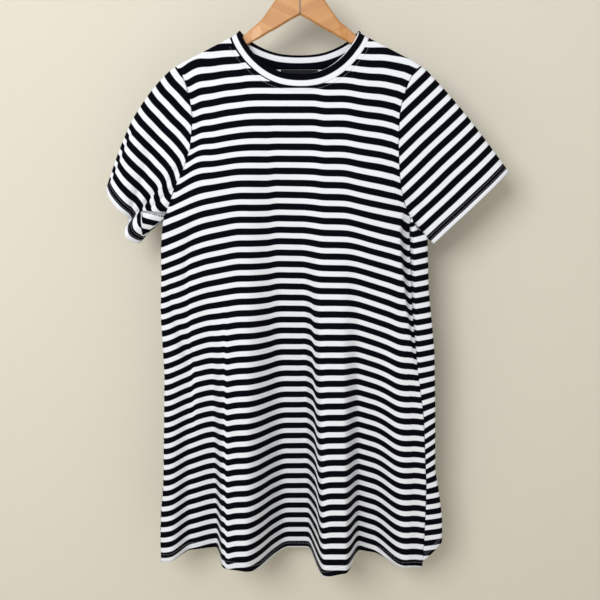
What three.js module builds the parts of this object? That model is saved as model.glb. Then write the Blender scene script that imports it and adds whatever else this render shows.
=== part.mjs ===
// A striped T-shirt dress hanging on a wooden hanger, in millimetres.
// Origin: inner top of the hook. +Z is up, the front of the dress faces -Y.
// "Level" is the length of cloth below the neck end of the shoulder seam.

import * as THREE from 'three';

// Driving sizes
const SHOULDER_BELOW_HOOK = 160;
const NECK_HALF_WIDTH = 107;
const NECK_DEPTH = { front: 72, back: 43 };
const NECK_CURVE = { reachPower: 2.2, depthPower: 0.75 };
const TIP_X = 191;
const TIP_LEVEL = 18;
const TIP_DROP = 42;
const UNDERARM_LEVEL = 251;
const CHEST_LEVEL = 240;
const HEM_LEVEL = 875;
const HEM_SIDE_RISE = 37;
const DRESS_CENTRE_X = -1;
const WALL = 1.8;
const SEAM_GAP = 0.3;
const BAND_WIDTH = 19;
const LABEL = { halfWidth: 29, top: 46, height: 25, thickness: 1 };

const ARM_HALF_THICKNESS = 6.2;
const ARM_CLEARANCE = 0.7;
const SHOULDER_ROUND = ARM_HALF_THICKNESS + ARM_CLEARANCE + WALL / 2;
const SHOULDER_SLOPE = TIP_DROP / (TIP_X - NECK_HALF_WIDTH);

// Cloth beside the neck starts below the turn over the hanger, and keeps the height that
// the turn takes up, fading out towards the middle of the neck.
const TURN = { height: 2.9, fadeFrom: 30, power: 3.5 };

const HOOK_WIRE_RADIUS = 2;
const HOOK_INNER_RADIUS = 18;
const HANGER_TOP_Z = -74;
const HANGER_APEX_Z = -125;

// Where each panel ends, level by level: armhole above the underarm, side seam below it.
// The right seam lies in front of the right outline, where the back wraps forward.
const PANEL_EDGES = [
  { level: 18, left: -193, seam: 189, right: 189 },
  { level: 32, left: -182, seam: 175, right: 175 },
  { level: 50, left: -175, seam: 167, right: 167 },
  { level: 74, left: -170, seam: 159, right: 159 },
  { level: 97, left: -167, seam: 155, right: 155 },
  { level: 144, left: -172, seam: 154, right: 154 },
  { level: 179, left: -184, seam: 156, right: 156 },
  { level: 204, left: -197, seam: 159, right: 159 },
  { level: 230, left: -208, seam: 166, right: 166 },
  { level: 251, left: -218, seam: 177, right: 178 },
  { level: 270, left: -221, seam: 177, right: 182 },
  { level: 290, left: -223, seam: 178, right: 191 },
  { level: 312, left: -224, seam: 179, right: 204 },
  { level: 400, left: -227, seam: 184, right: 209 },
  { level: 500, left: -224, seam: 194, right: 221 },
  { level: 580, left: -227, seam: 206, right: 225 },
  { level: 700, left: -232, seam: 214, right: 229 },
  { level: 740, left: -237, seam: 214, right: 236 },
  { level: 795, left: -240, seam: 213, right: 243 },
  { level: 875, left: -240, seam: 209, right: 245 },
];

// How far the front and the back stand off the middle plane.
const TUBE_DEPTHS = [
  { level: 0, front: 8, back: 8 },
  { level: 60, front: 13, back: 11 },
  { level: 200, front: 20, back: 16 },
  { level: 400, front: 13, back: 15 },
  { level: 875, front: 12, back: 15 },
];

// Cloth near the sides hangs lower than at the middle.
const SIDE_SAG = [
  { level: 180, left: 0, right: 0 },
  { level: 290, left: 15, right: 9 },
  { level: 480, left: 16, right: 9 },
  { level: 740, left: 0, right: 8 },
  { level: 875, left: -7, right: 8 },
];

// Crest and valley lines of the drape. Depth is at the hem, to the back where positive.
const FRONT_FOLDS = [
  { name: 'left seam', chestX: -225, hemX: -240, depth: 0, start: 300 },
  { name: 'left roll', chestX: -212, hemX: -224, depth: -3, start: 300 },
  { name: 'left valley, outer', chestX: -178, hemX: -190, depth: 28, start: 380 },
  { name: 'left valley, inner', chestX: -150, hemX: -146, depth: 36, start: 380 },
  { name: 'left flute, steep side', chestX: -118, hemX: -128, depth: -36, start: 380 },
  { name: 'left flute, crest', chestX: -88, hemX: -94, depth: -36, start: 380 },
  { name: 'middle valley, left', chestX: -30, hemX: -20, depth: 60, start: 110 },
  { name: 'middle valley, right', chestX: 0, hemX: 14, depth: 60, start: 110 },
  { name: 'right flute, steep side', chestX: 34, hemX: 42, depth: -42, start: 300 },
  { name: 'right flute, crest', chestX: 62, hemX: 76, depth: -40, start: 300 },
  { name: 'right valley, left', chestX: 92, hemX: 106, depth: 40, start: 430 },
  { name: 'right valley, right', chestX: 118, hemX: 128, depth: 40, start: 430 },
  { name: 'right bulge', chestX: 158, hemX: 182, depth: -6, start: 300 },
  { name: 'right seam', chestX: 180, hemX: 210, depth: 0, start: 300 },
];
const BACK_FOLDS = [
  { name: 'left seam', chestX: -225, hemX: -240, depth: 0, start: 300 },
  { name: 'left flute', chestX: -170, hemX: -175, depth: 34, start: 300 },
  { name: 'left valley', chestX: -95, hemX: -90, depth: 8, start: 300 },
  { name: 'middle flute', chestX: -10, hemX: -2, depth: 60, start: 110 },
  { name: 'right valley', chestX: 68, hemX: 72, depth: 6, start: 300 },
  { name: 'right flute', chestX: 122, hemX: 128, depth: 36, start: 300 },
  { name: 'right seam', chestX: 205, hemX: 245, depth: 0, start: 300 },
];

// Cuff outlines. Across runs from the outer corner to the inner corner, depth to the back,
// and along past the straight cuff line. Rows run down the front and up the back.
const RIGHT_CUFF = [
  { name: 'outer corner', across: 0, depth: 0, along: 0 },
  { name: 'front, upper', across: 26, depth: -10, along: 0 },
  { name: 'front, middle', across: 82, depth: -13, along: 0 },
  { name: 'front, lower', across: 136, depth: -9, along: 0 },
  { name: 'inner corner', across: 163, depth: 0, along: 2 },
  { name: 'back, lower', across: 136, depth: 10, along: 5 },
  { name: 'back, middle', across: 82, depth: 12, along: 3 },
  { name: 'back, upper', across: 26, depth: 9, along: 0 },
];
const LEFT_CUFF = [
  { name: 'outer corner', across: 0, depth: 2, along: 0 },
  { name: 'front, upper', across: 14, depth: -13, along: 1 },
  { name: 'front, middle', across: 36, depth: -17, along: -2 },
  { name: 'fold, near side', across: 54, depth: -9, along: -6 },
  { name: 'fold', across: 62, depth: 0, along: -4 },
  { name: 'curl, near side', across: 69, depth: -9, along: 6 },
  { name: 'curl', across: 80, depth: -15, along: 11 },
  { name: 'curl, far side', across: 93, depth: -8, along: 7 },
  { name: 'inner corner', across: 100, depth: 3, along: 0 },
  { name: 'back, lower', across: 84, depth: 18, along: 2 },
  { name: 'back, middle', across: 48, depth: 20, along: 0 },
  { name: 'back, upper', across: 16, depth: 14, along: 0 },
];
const SLEEVES = [
  {
    name: 'sleeve_left',
    side: -1,
    outerCorner: [-308, -390],
    innerCorner: [-258, -476],
    outerBulge: 17,
    cuff: LEFT_CUFF,
  },
  {
    name: 'sleeve_right',
    side: 1,
    outerCorner: [330, -363],
    innerCorner: [215, -475],
    outerBulge: 5,
    cuff: RIGHT_CUFF,
  },
];

// Half outline of the wooden hanger, from the middle out.
const HANGER_OUTLINE = [
  { x: 0.2, top: HANGER_TOP_Z, bottom: HANGER_APEX_Z },
  { x: 14, top: HANGER_TOP_Z - 1, bottom: -132 },
  { x: 26, top: -86, bottom: -139 },
  { x: 38, top: -103, bottom: -146 },
  { x: 50, top: -120, bottom: -152 },
  { x: 60, top: -133, bottom: -158 },
  { x: 74, top: -144.5, bottom: -165 },
  { x: 90, top: -157.8, bottom: -173 },
];
const HANGER_NECK = { from: 70, to: 112, narrower: 2.5, lower: 1.8 };
const HANGER_TIP_X = 181;
const HANGER_TIP_HEIGHT = 20;

// Rows and columns of the cloth grids, and samples along a section
const NECK_REACHES = [0, 0.17, 0.34, 0.5, 0.65, 0.77, 0.86, 0.93, 0.97, 0.99];
const SHOULDER_COLUMNS = 9;
const TOP_ROWS = [0, 0.0085, 0.032, 0.063, 0.14, 0.27, 0.46, 0.7];
const MIDDLE_ROWS = 3;
const LOWER_ROWS = 13;
const COMMON_LEVEL = 150;
const SECTION_SAMPLES = 240;
const SLEEVE_ROWS = 9;

const COLOURS = {
  jersey: 0xb4b5bc, neckband: 0x14161f, label: 0x0c0d12, wood: 0xd29b5f, steel: 0xb9bcc0,
};

// Small helpers
const clamp = (t) => Math.min(1, Math.max(0, t));
const smooth = (t) => clamp(t) * clamp(t) * (3 - 2 * clamp(t));
const lerp = (a, b, t) => a + (b - a) * t;

// Value of a column at a level, in straight lines between the rows of a table.
function lookup(table, level, column) {
  if (level <= table[0].level) return table[0][column];
  for (let i = 1; i < table.length; i++) {
    const low = table[i - 1];
    const high = table[i];
    if (level <= high.level) {
      return lerp(low[column], high[column], (level - low.level) / (high.level - low.level));
    }
  }
  return table[table.length - 1][column];
}

// Drop of a shoulder-high point of the cloth below its own level, growing to the sides.
const sideDrop = (x) => 16 * Math.abs(x / 167) ** 3;

function sideSag(x, level) {
  const left = lookup(SIDE_SAG, level, 'left') * smooth((-x - 110) / 110);
  const right = lookup(SIDE_SAG, level, 'right') * smooth((x - 70) / 70) * smooth((215 - x) / 60);
  return left + right;
}

// Displacement by the folds of one panel at a place on it.
function foldOffset(x, level, folds) {
  const down = clamp((level - CHEST_LEVEL) / (HEM_LEVEL - CHEST_LEVEL));
  const lines = folds.map((row) => ({
    x: lerp(row.chestX, row.hemX, down),
    y: row.depth * clamp((level - row.start) / (HEM_LEVEL - row.start)),
  }));
  let i = 1;
  while (i < lines.length - 1 && x > lines[i].x) i++;
  const a = lines[i - 1];
  const b = lines[i];
  return lerp(a.y, b.y, smooth((x - a.x) / (b.x - a.x)));
}

// Distance of the cloth from the middle plane: round over the hanger, then the flat tube.
function tubeDepth(x, below, level, side) {
  const left = lookup(PANEL_EDGES, level, 'left');
  const right = lookup(PANEL_EDGES, level, 'right');
  const across = (x - (left + right) / 2) / ((right - left) / 2);
  const closing = 0.8 + 0.2 * smooth((level - 140) / (UNDERARM_LEVEL - 140));
  const shape = Math.cbrt(1 - Math.min(1, Math.abs(across * closing)) ** 3);
  const turn = Math.min(below + 0.01, SHOULDER_ROUND) / SHOULDER_ROUND;
  const round = SHOULDER_ROUND * Math.sqrt(1 - (1 - turn) ** 2);
  const full = lookup(TUBE_DEPTHS, level, side) - TUBE_DEPTHS[0][side];
  return lerp(1, shape, smooth(below / 70)) * (round + full * smooth(below / 150));
}

const shoulderLine = (x) => SHOULDER_SLOPE * (Math.abs(x - DRESS_CENTRE_X) - NECK_HALF_WIDTH);

function panelY(x, level, side) {
  const below = Math.max(0, level + sideDrop(x) - shoulderLine(x));
  const depth = tubeDepth(x, below, level, side);
  if (side === 'front') return -depth + foldOffset(x, level, FRONT_FOLDS);
  return depth + foldOffset(x, level, BACK_FOLDS);
}

// The cut of a panel across one level, as points with their length along the cloth.
const sections = new Map();
function section(level, side) {
  const key = `${side} ${level.toFixed(3)}`;
  if (sections.has(key)) return sections.get(key);
  const left = lookup(PANEL_EDGES, level, 'left');
  const seam = lookup(PANEL_EDGES, level, 'seam');
  const right = lookup(PANEL_EDGES, level, 'right');
  const points = [];
  const end = side === 'front' ? seam : right;
  for (let i = 0; i <= SECTION_SAMPLES; i++) {
    const x = lerp(left, end, 0.5 - 0.5 * Math.cos((Math.PI * i) / SECTION_SAMPLES));
    points.push([x, panelY(x, level, side)]);
  }
  if (side === 'back') {
    const steps = 24;
    for (let i = 1; i <= steps && level > UNDERARM_LEVEL; i++) {
      const x = lerp(right, seam, (i / steps) ** 2);
      points.push([x, panelY(x, level, 'front')]);
    }
  }
  const lengths = [0];
  for (let i = 1; i < points.length; i++) {
    const step = Math.hypot(points[i][0] - points[i - 1][0], points[i][1] - points[i - 1][1]);
    lengths.push(lengths[i - 1] + step);
  }
  const result = { points, lengths, total: lengths[lengths.length - 1] };
  sections.set(key, result);
  return result;
}

// Place at a share of the cloth's width, -1 at the left edge to 1 at the right edge.
function atShare(share, level, side) {
  const cut = section(Math.max(level, TIP_LEVEL), side);
  const wanted = ((share + 1) / 2) * cut.total;
  let i = 1;
  while (i < cut.lengths.length - 1 && cut.lengths[i] < wanted) i++;
  const t = clamp((wanted - cut.lengths[i - 1]) / (cut.lengths[i] - cut.lengths[i - 1]));
  const x = lerp(cut.points[i - 1][0], cut.points[i][0], t);
  const y = lerp(cut.points[i - 1][1], cut.points[i][1], t);
  return { x, y, width: cut.total };
}

// Share of the cloth's width at a place on the section through the shoulder tips.
function shareOf(x, side) {
  const cut = section(TIP_LEVEL, side);
  let i = 1;
  while (i < cut.points.length - 1 && cut.points[i][0] < x) i++;
  const t = (x - cut.points[i - 1][0]) / (cut.points[i][0] - cut.points[i - 1][0]);
  return (2 * lerp(cut.lengths[i - 1], cut.lengths[i], t)) / cut.total - 1;
}

const neckShape = (reach) => (1 - reach ** NECK_CURVE.reachPower) ** NECK_CURVE.depthPower;

// Level of a panel's top edge: the neck curve in the middle, the shoulder seam outside it.
function topLevel(share, side) {
  let level = TIP_LEVEL;
  for (let pass = 0; pass < 30; pass++) {
    const x = atShare(share, level, side).x;
    const reach = Math.abs(x - DRESS_CENTRE_X) / NECK_HALF_WIDTH;
    const drop = reach < 1 ? NECK_DEPTH[side] * neckShape(reach) : shoulderLine(x);
    level = lerp(level, drop - sideDrop(x), 0.5);
  }
  return level;
}

const hemLevel = (share) =>
  HEM_LEVEL - HEM_SIDE_RISE * Math.sin((Math.PI / 2) * clamp((Math.abs(share) - 0.3) / 0.7));

function turnHeight(x, level) {
  const below = clamp((level + sideDrop(x) - shoulderLine(x)) / SHOULDER_ROUND);
  const fromCentre = Math.abs(x - DRESS_CENTRE_X);
  const besideNeck = smooth((fromCentre - TURN.fadeFrom) / (NECK_HALF_WIDTH - TURN.fadeFrom));
  return TURN.height * (1 - (1 - below) ** TURN.power) * besideNeck;
}

// One line of cloth from the top edge to the hem: each step down keeps the cloth's length.
function columnPoints(share, side, levels) {
  const points = [];
  let z = 0;
  let last = null;
  for (const level of levels) {
    const place = atShare(share, level, side);
    if (level < TIP_LEVEL) place.y = panelY(place.x, level, side);
    place.s = (share * place.width) / 2;
    if (last === null) {
      z = -SHOULDER_BELOW_HOOK - level - sideDrop(place.x) + turnHeight(place.x, level);
    } else {
      const cloth = (level - last.level) ** 2 + (place.s - last.s) ** 2;
      const sideways = (place.x - last.x) ** 2 + (place.y - last.y) ** 2;
      z -= Math.sqrt(Math.max(cloth - sideways, 0));
    }
    last = { ...place, level };
    points.push(new THREE.Vector3(place.x, place.y, z - sideSag(place.x, level)));
  }
  return points;
}

// Levels of the grid's rows, on a fine step so that folds keep their length.
function columnLevels(share, side) {
  const top = topLevel(share, side);
  const hem = hemLevel(share);
  const levels = TOP_ROWS.map((part) => lerp(top, COMMON_LEVEL, part));
  for (let j = 0; j < MIDDLE_ROWS; j++) {
    levels.push(lerp(COMMON_LEVEL, UNDERARM_LEVEL, j / MIDDLE_ROWS));
  }
  for (let j = 0; j <= LOWER_ROWS; j++) {
    levels.push(lerp(UNDERARM_LEVEL, hem, j / LOWER_ROWS));
  }
  return levels;
}

function panelColumn(share, side) {
  const coarse = columnLevels(share, side);
  const fine = [];
  const kept = [];
  const parts = 4;
  coarse.forEach((level, j) => {
    if (j > 0) {
      for (let k = 1; k < parts; k++) fine.push(lerp(coarse[j - 1], level, k / parts));
    }
    kept.push(fine.length);
    fine.push(level);
  });
  const points = columnPoints(share, side, fine);
  return kept.map((index) => points[index]);
}

// Columns stand closer together on the steep ends of the neck curve.
function columnShares(side) {
  const neckLeft = shareOf(DRESS_CENTRE_X - NECK_HALF_WIDTH, side);
  const neckRight = shareOf(DRESS_CENTRE_X + NECK_HALF_WIDTH, side);
  const shares = [];
  for (let i = 0; i < SHOULDER_COLUMNS; i++) {
    shares.push(lerp(-1, neckLeft, i / SHOULDER_COLUMNS));
  }
  const reaches = [-1, ...NECK_REACHES.slice(1).reverse().map((reach) => -reach)];
  for (const reach of [...reaches, ...NECK_REACHES, 1]) {
    shares.push(shareOf(DRESS_CENTRE_X + NECK_HALF_WIDTH * reach, side));
  }
  for (let i = 1; i <= SHOULDER_COLUMNS; i++) {
    shares.push(lerp(neckRight, 1, i / SHOULDER_COLUMNS));
  }
  return shares;
}

// Unit normals of a grid of points, where a closed grid joins its last column to its first.
function gridNormals(grid, closed) {
  const columns = grid.length;
  const rows = grid[0].length;
  return grid.map((column, i) => column.map((point, j) => {
    const next = closed ? grid[(i + 1) % columns] : grid[Math.min(i + 1, columns - 1)];
    const previous = closed ? grid[(i + columns - 1) % columns] : grid[Math.max(i - 1, 0)];
    const across = new THREE.Vector3().subVectors(next[j], previous[j]);
    const down = new THREE.Vector3().subVectors(
      column[Math.min(j + 1, rows - 1)], column[Math.max(j - 1, 0)]);
    return across.cross(down).normalize();
  }));
}

// A closed wall of even thickness about a grid of points in its middle.
function wallGeometry(grid, closed, thickness = WALL, forcedNormals = null) {
  const normals = forcedNormals ?? gridNormals(grid, closed);
  const columns = grid.length;
  const rows = grid[0].length;
  const positions = [];
  for (const side of [0.5, -0.5]) {
    for (let i = 0; i < columns; i++) {
      for (let j = 0; j < rows; j++) {
        const point = grid[i][j].clone().addScaledVector(normals[i][j], side * thickness);
        positions.push(point.x, point.y, point.z);
      }
    }
  }
  const index = [];
  const id = (layer, i, j) => layer * columns * rows + (i % columns) * rows + j;
  const quad = (a, b, c, d) => index.push(a, b, c, a, c, d);
  const spans = closed ? columns : columns - 1;
  for (let i = 0; i < spans; i++) {
    for (let j = 0; j < rows - 1; j++) {
      quad(id(0, i, j), id(0, i + 1, j), id(0, i + 1, j + 1), id(0, i, j + 1));
      quad(id(1, i, j), id(1, i, j + 1), id(1, i + 1, j + 1), id(1, i + 1, j));
    }
    quad(id(0, i, 0), id(1, i, 0), id(1, i + 1, 0), id(0, i + 1, 0));
    const end = rows - 1;
    quad(id(0, i, end), id(0, i + 1, end), id(1, i + 1, end), id(1, i, end));
  }
  if (!closed) {
    for (let j = 0; j < rows - 1; j++) {
      quad(id(0, 0, j), id(0, 0, j + 1), id(1, 0, j + 1), id(1, 0, j));
      const last = columns - 1;
      quad(id(0, last, j), id(1, last, j), id(1, last, j + 1), id(0, last, j + 1));
    }
  }
  const geometry = new THREE.BufferGeometry();
  geometry.setAttribute('position', new THREE.Float32BufferAttribute(positions, 3));
  geometry.setIndex(index);
  geometry.computeVertexNormals();
  return geometry;
}

function fabric(color) {
  return new THREE.MeshStandardMaterial({ color, roughness: 0.9, metalness: 0 });
}

function mesh(name, geometry, material) {
  const result = new THREE.Mesh(geometry, material);
  result.name = name;
  return result;
}

// Moves the outer columns of an open grid apart from the neighbour they are sewn to.
function trimEdges(grid, amount) {
  const last = grid.length - 1;
  for (const [edge, inner] of [[0, 1], [last, last - 1]]) {
    grid[edge].forEach((point, j) => {
      const inward = new THREE.Vector3().subVectors(grid[inner][j], point).normalize();
      point.addScaledVector(inward, amount);
    });
  }
}

// Front and back panels. Outward is -Y on the front and +Y on the back.
function panelGrid(side) {
  return columnShares(side).map((share) => panelColumn(share, side));
}

// Both panels share one direction across their side seams, so that the seams stay parallel.
const SEAM_NORMALS = {
  left: new THREE.Vector3(-1, 0, 0),
  right: new THREE.Vector3(0.5, -0.87, 0).normalize(),
};

function buildPanel(name, source, side) {
  const grid = source.map((column) => column.map((point) => point.clone()));
  trimEdges(grid, SEAM_GAP * 1.2);
  if (side === 'back') grid.reverse();
  const normals = gridNormals(grid, false);
  const underarmRow = TOP_ROWS.length + MIDDLE_ROWS;
  const edges = side === 'front' ? ['left', 'right'] : ['right', 'left'];
  edges.forEach((edge, k) => {
    const column = normals[k * (grid.length - 1)];
    for (let j = underarmRow; j < column.length; j++) column[j].copy(SEAM_NORMALS[edge]);
  });
  return mesh(name, wallGeometry(grid, false, WALL, normals), fabric(COLOURS.jersey));
}

// The panels' own edge points round an armhole, from the shoulder tip down the front and
// up the back, each with the way out of its panel and its share of the way round.
function armholeLoop(side, frontGrid, backGrid) {
  const underarmRow = TOP_ROWS.length + MIDDLE_ROWS;
  const rim = (grid) => {
    const edge = side < 0 ? 0 : grid.length - 1;
    const points = [];
    for (let j = 0; j <= underarmRow; j++) {
      const point = grid[edge][j];
      const outward = new THREE.Vector3().subVectors(point, grid[edge + side * -1][j]);
      points.push({ point, outward: outward.normalize() });
    }
    let length = 0;
    points.forEach((entry, j) => {
      if (j > 0) length += entry.point.distanceTo(points[j - 1].point);
      entry.length = length;
    });
    points.forEach((entry) => {
      entry.share = (0.5 * entry.length) / length;
    });
    return points;
  };
  const front = rim(frontGrid);
  const back = rim(backGrid);
  back.forEach((entry) => {
    entry.share = 1 - entry.share;
  });
  return [...front, ...back.slice(1, -1).reverse()];
}

// The cuff as a smooth closed curve through the rows of its table.
function cuffCurve(spec) {
  const outer = new THREE.Vector3(spec.outerCorner[0], 0, spec.outerCorner[1]);
  const inner = new THREE.Vector3(spec.innerCorner[0], 0, spec.innerCorner[1]);
  const across = new THREE.Vector3().subVectors(inner, outer).normalize();
  const along = new THREE.Vector3(-across.z * spec.side, 0, across.x * spec.side);
  const rows = spec.cuff.map((row) => outer.clone()
    .addScaledVector(across, row.across)
    .addScaledVector(along, row.along)
    .add(new THREE.Vector3(0, row.depth, 0)));
  const curve = new THREE.CatmullRomCurve3(rows, true, 'centripetal');
  curve.arcLengthDivisions = 400;
  return curve;
}

// A sleeve runs from just outside the armhole to its cuff.
function buildSleeve(spec, frontGrid, backGrid) {
  const cuff = cuffCurve(spec);
  const grid = armholeLoop(spec.side, frontGrid, backGrid).map(({ point, outward, share }) => {
    const column = [];
    const end = cuff.getPointAt(share);
    const from = point.clone().addScaledVector(outward, SEAM_GAP * 2.6);
    const topSide = Math.max(0, Math.cos(2 * Math.PI * share)) ** 2;
    for (let j = 0; j < SLEEVE_ROWS; j++) {
      const t = j / (SLEEVE_ROWS - 1);
      const bulge = spec.outerBulge * topSide * Math.sin(Math.PI * t ** 0.8);
      const place = from.clone().lerp(end, t);
      place.x += spec.side * bulge * 0.9;
      place.z += bulge * 0.4;
      column.push(place);
    }
    return column;
  });
  if (spec.side > 0) grid.reverse();
  return mesh(spec.name, wallGeometry(grid, true), fabric(COLOURS.jersey));
}

// The neckband grows from the panels' own top points, inward and up the shoulder slope.
function bandY(x, z, side) {
  const level = -SHOULDER_BELOW_HOOK - z;
  const below = Math.max(0, level - shoulderLine(x));
  const depth = tubeDepth(x, below, Math.max(level, TIP_LEVEL), side);
  return side === 'front' ? -depth : depth;
}

function buildNeckband(frontGrid, backGrid) {
  const first = SHOULDER_COLUMNS;
  const last = frontGrid.length - 1 - SHOULDER_COLUMNS;
  const seam = [];
  for (let i = last; i > first; i--) seam.push({ point: frontGrid[i][0], side: 'front' });
  for (let i = first; i < last; i++) seam.push({ point: backGrid[i][0], side: 'back' });
  const count = seam.length;
  const rows = 4;
  const reachOf = ({ point }) => Math.min(1, Math.abs(point.x - DRESS_CENTRE_X) / NECK_HALF_WIDTH);
  // The curve's own height, because the turn over the hanger would tip the band upright.
  const curveHeight = (place) => -NECK_DEPTH[place.side] * neckShape(reachOf(place));
  const grid = seam.map((here, i) => {
    const { point, side } = here;
    const ahead = seam[(i + 1) % count];
    const behind = seam[(i + count - 1) % count];
    const reach = reachOf(here);
    const along = new THREE.Vector2(
      ahead.point.x - behind.point.x,
      curveHeight(ahead) - curveHeight(behind),
    );
    const inward = reach > 0.999
      ? new THREE.Vector2(-Math.sign(point.x), 0)
      : new THREE.Vector2(-along.y, along.x).normalize();
    if (inward.y < 0) inward.multiplyScalar(-1);
    inward.y = Math.hypot(inward.y, SHOULDER_SLOPE * reach ** 3);
    inward.normalize();
    const column = [];
    for (let j = 0; j < rows; j++) {
      const out = lerp(SEAM_GAP * 2.1, BAND_WIDTH, j / (rows - 1));
      const x = point.x + inward.x * out;
      const z = point.z + inward.y * out;
      const y = reach > 0.999 ? 0 : bandY(x, z, side);
      column.push(new THREE.Vector3(x, y, z));
    }
    return column.reverse();
  });
  grid.reverse();
  return mesh('neckband', wallGeometry(grid, true), fabric(COLOURS.neckband));
}

// The blank label lies on the inside of the back panel, made from the panel's own points.
function buildLabel() {
  const columns = 8;
  const rows = 4;
  const inset = WALL / 2 + SEAM_GAP + LABEL.thickness / 2;
  const grid = [];
  for (let i = 0; i <= columns; i++) {
    const x = DRESS_CENTRE_X + lerp(-LABEL.halfWidth, LABEL.halfWidth, i / columns);
    const column = [];
    for (let j = 0; j <= rows; j++) {
      const level = LABEL.top + (LABEL.height * j) / rows;
      const y = panelY(x, level, 'back') - inset;
      column.push(new THREE.Vector3(x, y, -SHOULDER_BELOW_HOOK - level));
    }
    grid.push(column);
  }
  return mesh('neck_label', wallGeometry(grid, false, LABEL.thickness), fabric(COLOURS.label));
}

// One wooden arm: round-topped slices from the middle of the hanger to its tip.
function hangerSlice(x, top, bottom, halfThickness) {
  const slice = [];
  const roundSteps = 6;
  const lowRadius = Math.min(3, halfThickness * 0.5);
  for (let k = 0; k <= roundSteps; k++) {
    const angle = (Math.PI * k) / roundSteps;
    const y = -halfThickness * Math.cos(angle);
    const z = top - halfThickness + halfThickness * Math.sin(angle);
    slice.push(new THREE.Vector3(x, y, z));
  }
  for (const [y, lift] of [[1, 1], [0.5, 0], [-0.5, 0], [-1, 1]]) {
    slice.push(new THREE.Vector3(x, y * halfThickness, bottom + lift * lowRadius));
  }
  return slice;
}

function buildHangerArm(name, side) {
  const slices = HANGER_OUTLINE.map((row) => {
    const slim = row.x > HANGER_NECK.from ? HANGER_NECK.narrower : 0;
    return hangerSlice(side * row.x, row.top, row.bottom, ARM_HALF_THICKNESS - slim);
  });
  const armSteps = 6;
  const inner = HANGER_OUTLINE[HANGER_OUTLINE.length - 1];
  const clear = SHOULDER_ROUND - ARM_HALF_THICKNESS;
  for (let i = 1; i <= armSteps; i++) {
    const x = lerp(inner.x, HANGER_TIP_X, i / armSteps);
    const fromTip = (HANGER_TIP_X - x) / 12;
    const narrow = fromTip < 1 ? 0.62 : 1;
    const atNeck = x < HANGER_NECK.to;
    const line = -SHOULDER_BELOW_HOOK - shoulderLine(side * x) - clear;
    const top = line - (atNeck ? HANGER_NECK.lower : 0);
    const height = lerp(inner.top - inner.bottom, HANGER_TIP_HEIGHT, i / armSteps) * narrow;
    const half = (ARM_HALF_THICKNESS - (atNeck ? HANGER_NECK.narrower : 0)) * narrow;
    slices.push(hangerSlice(side * x, top - (1 - narrow) * 4, top - height, half));
  }
  if (side < 0) slices.reverse();
  return mesh(name, sliceGeometry(slices), new THREE.MeshStandardMaterial({
    color: COLOURS.wood,
    roughness: 0.45,
    metalness: 0,
  }));
}

// A closed solid through matching slices, with a fan over each end.
function sliceGeometry(slices) {
  const count = slices[0].length;
  const positions = slices.flat().flatMap((point) => [point.x, point.y, point.z]);
  const index = [];
  for (let i = 0; i < slices.length - 1; i++) {
    for (let k = 0; k < count; k++) {
      const a = i * count + k;
      const b = i * count + ((k + 1) % count);
      index.push(a, a + count, b + count, a, b + count, b);
    }
  }
  const last = (slices.length - 1) * count;
  for (let k = 1; k < count - 1; k++) {
    index.push(0, k, k + 1);
    index.push(last, last + k + 1, last + k);
  }
  const geometry = new THREE.BufferGeometry();
  geometry.setAttribute('position', new THREE.Float32BufferAttribute(positions, 3));
  geometry.setIndex(index);
  geometry.computeVertexNormals();
  return geometry;
}

// The wire hook: a short shank out of the wood, a swan neck and a round bend.
function buildHook() {
  const radius = HOOK_INNER_RADIUS + HOOK_WIRE_RADIUS;
  const centreZ = -HOOK_INNER_RADIUS;
  const points = [
    new THREE.Vector3(0, 0, HANGER_TOP_Z + SEAM_GAP),
    new THREE.Vector3(0, 0, HANGER_TOP_Z + 12),
    new THREE.Vector3(-3, 0, HANGER_TOP_Z + 24),
    new THREE.Vector3(-14, 0, centreZ - 19),
  ];
  const bendSteps = 12;
  for (let i = 0; i <= bendSteps; i++) {
    const angle = lerp(Math.PI * 1.06, -Math.PI * 0.16, i / bendSteps);
    points.push(new THREE.Vector3(
      radius * Math.cos(angle), 0, centreZ + radius * Math.sin(angle)));
  }
  const path = new THREE.CatmullRomCurve3(points, false, 'centripetal');
  const ring = new THREE.Shape();
  const sides = 8;
  for (let k = 0; k < sides; k++) {
    const angle = (2 * Math.PI * k) / sides;
    const x = HOOK_WIRE_RADIUS * Math.cos(angle);
    const y = HOOK_WIRE_RADIUS * Math.sin(angle);
    if (k === 0) ring.moveTo(x, y);
    else ring.lineTo(x, y);
  }
  ring.closePath();
  const geometry = new THREE.ExtrudeGeometry(ring, { steps: 40, extrudePath: path });
  return mesh('hanger_hook', geometry, new THREE.MeshStandardMaterial({
    color: COLOURS.steel,
    roughness: 0.3,
    metalness: 1,
  }));
}

const dress = new THREE.Group();
const frontGrid = panelGrid('front');
const backGrid = panelGrid('back');
dress.add(buildPanel('front_panel', frontGrid, 'front'));
dress.add(buildPanel('back_panel', backGrid, 'back'));
for (const spec of SLEEVES) dress.add(buildSleeve(spec, frontGrid, backGrid));
dress.add(buildNeckband(frontGrid, backGrid));
dress.add(buildLabel());
dress.add(buildHangerArm('hanger_arm_left', -1));
dress.add(buildHangerArm('hanger_arm_right', 1));
dress.add(buildHook());

export default dress;
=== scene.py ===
"""A striped T-shirt dress on a wooden hanger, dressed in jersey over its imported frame."""

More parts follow.
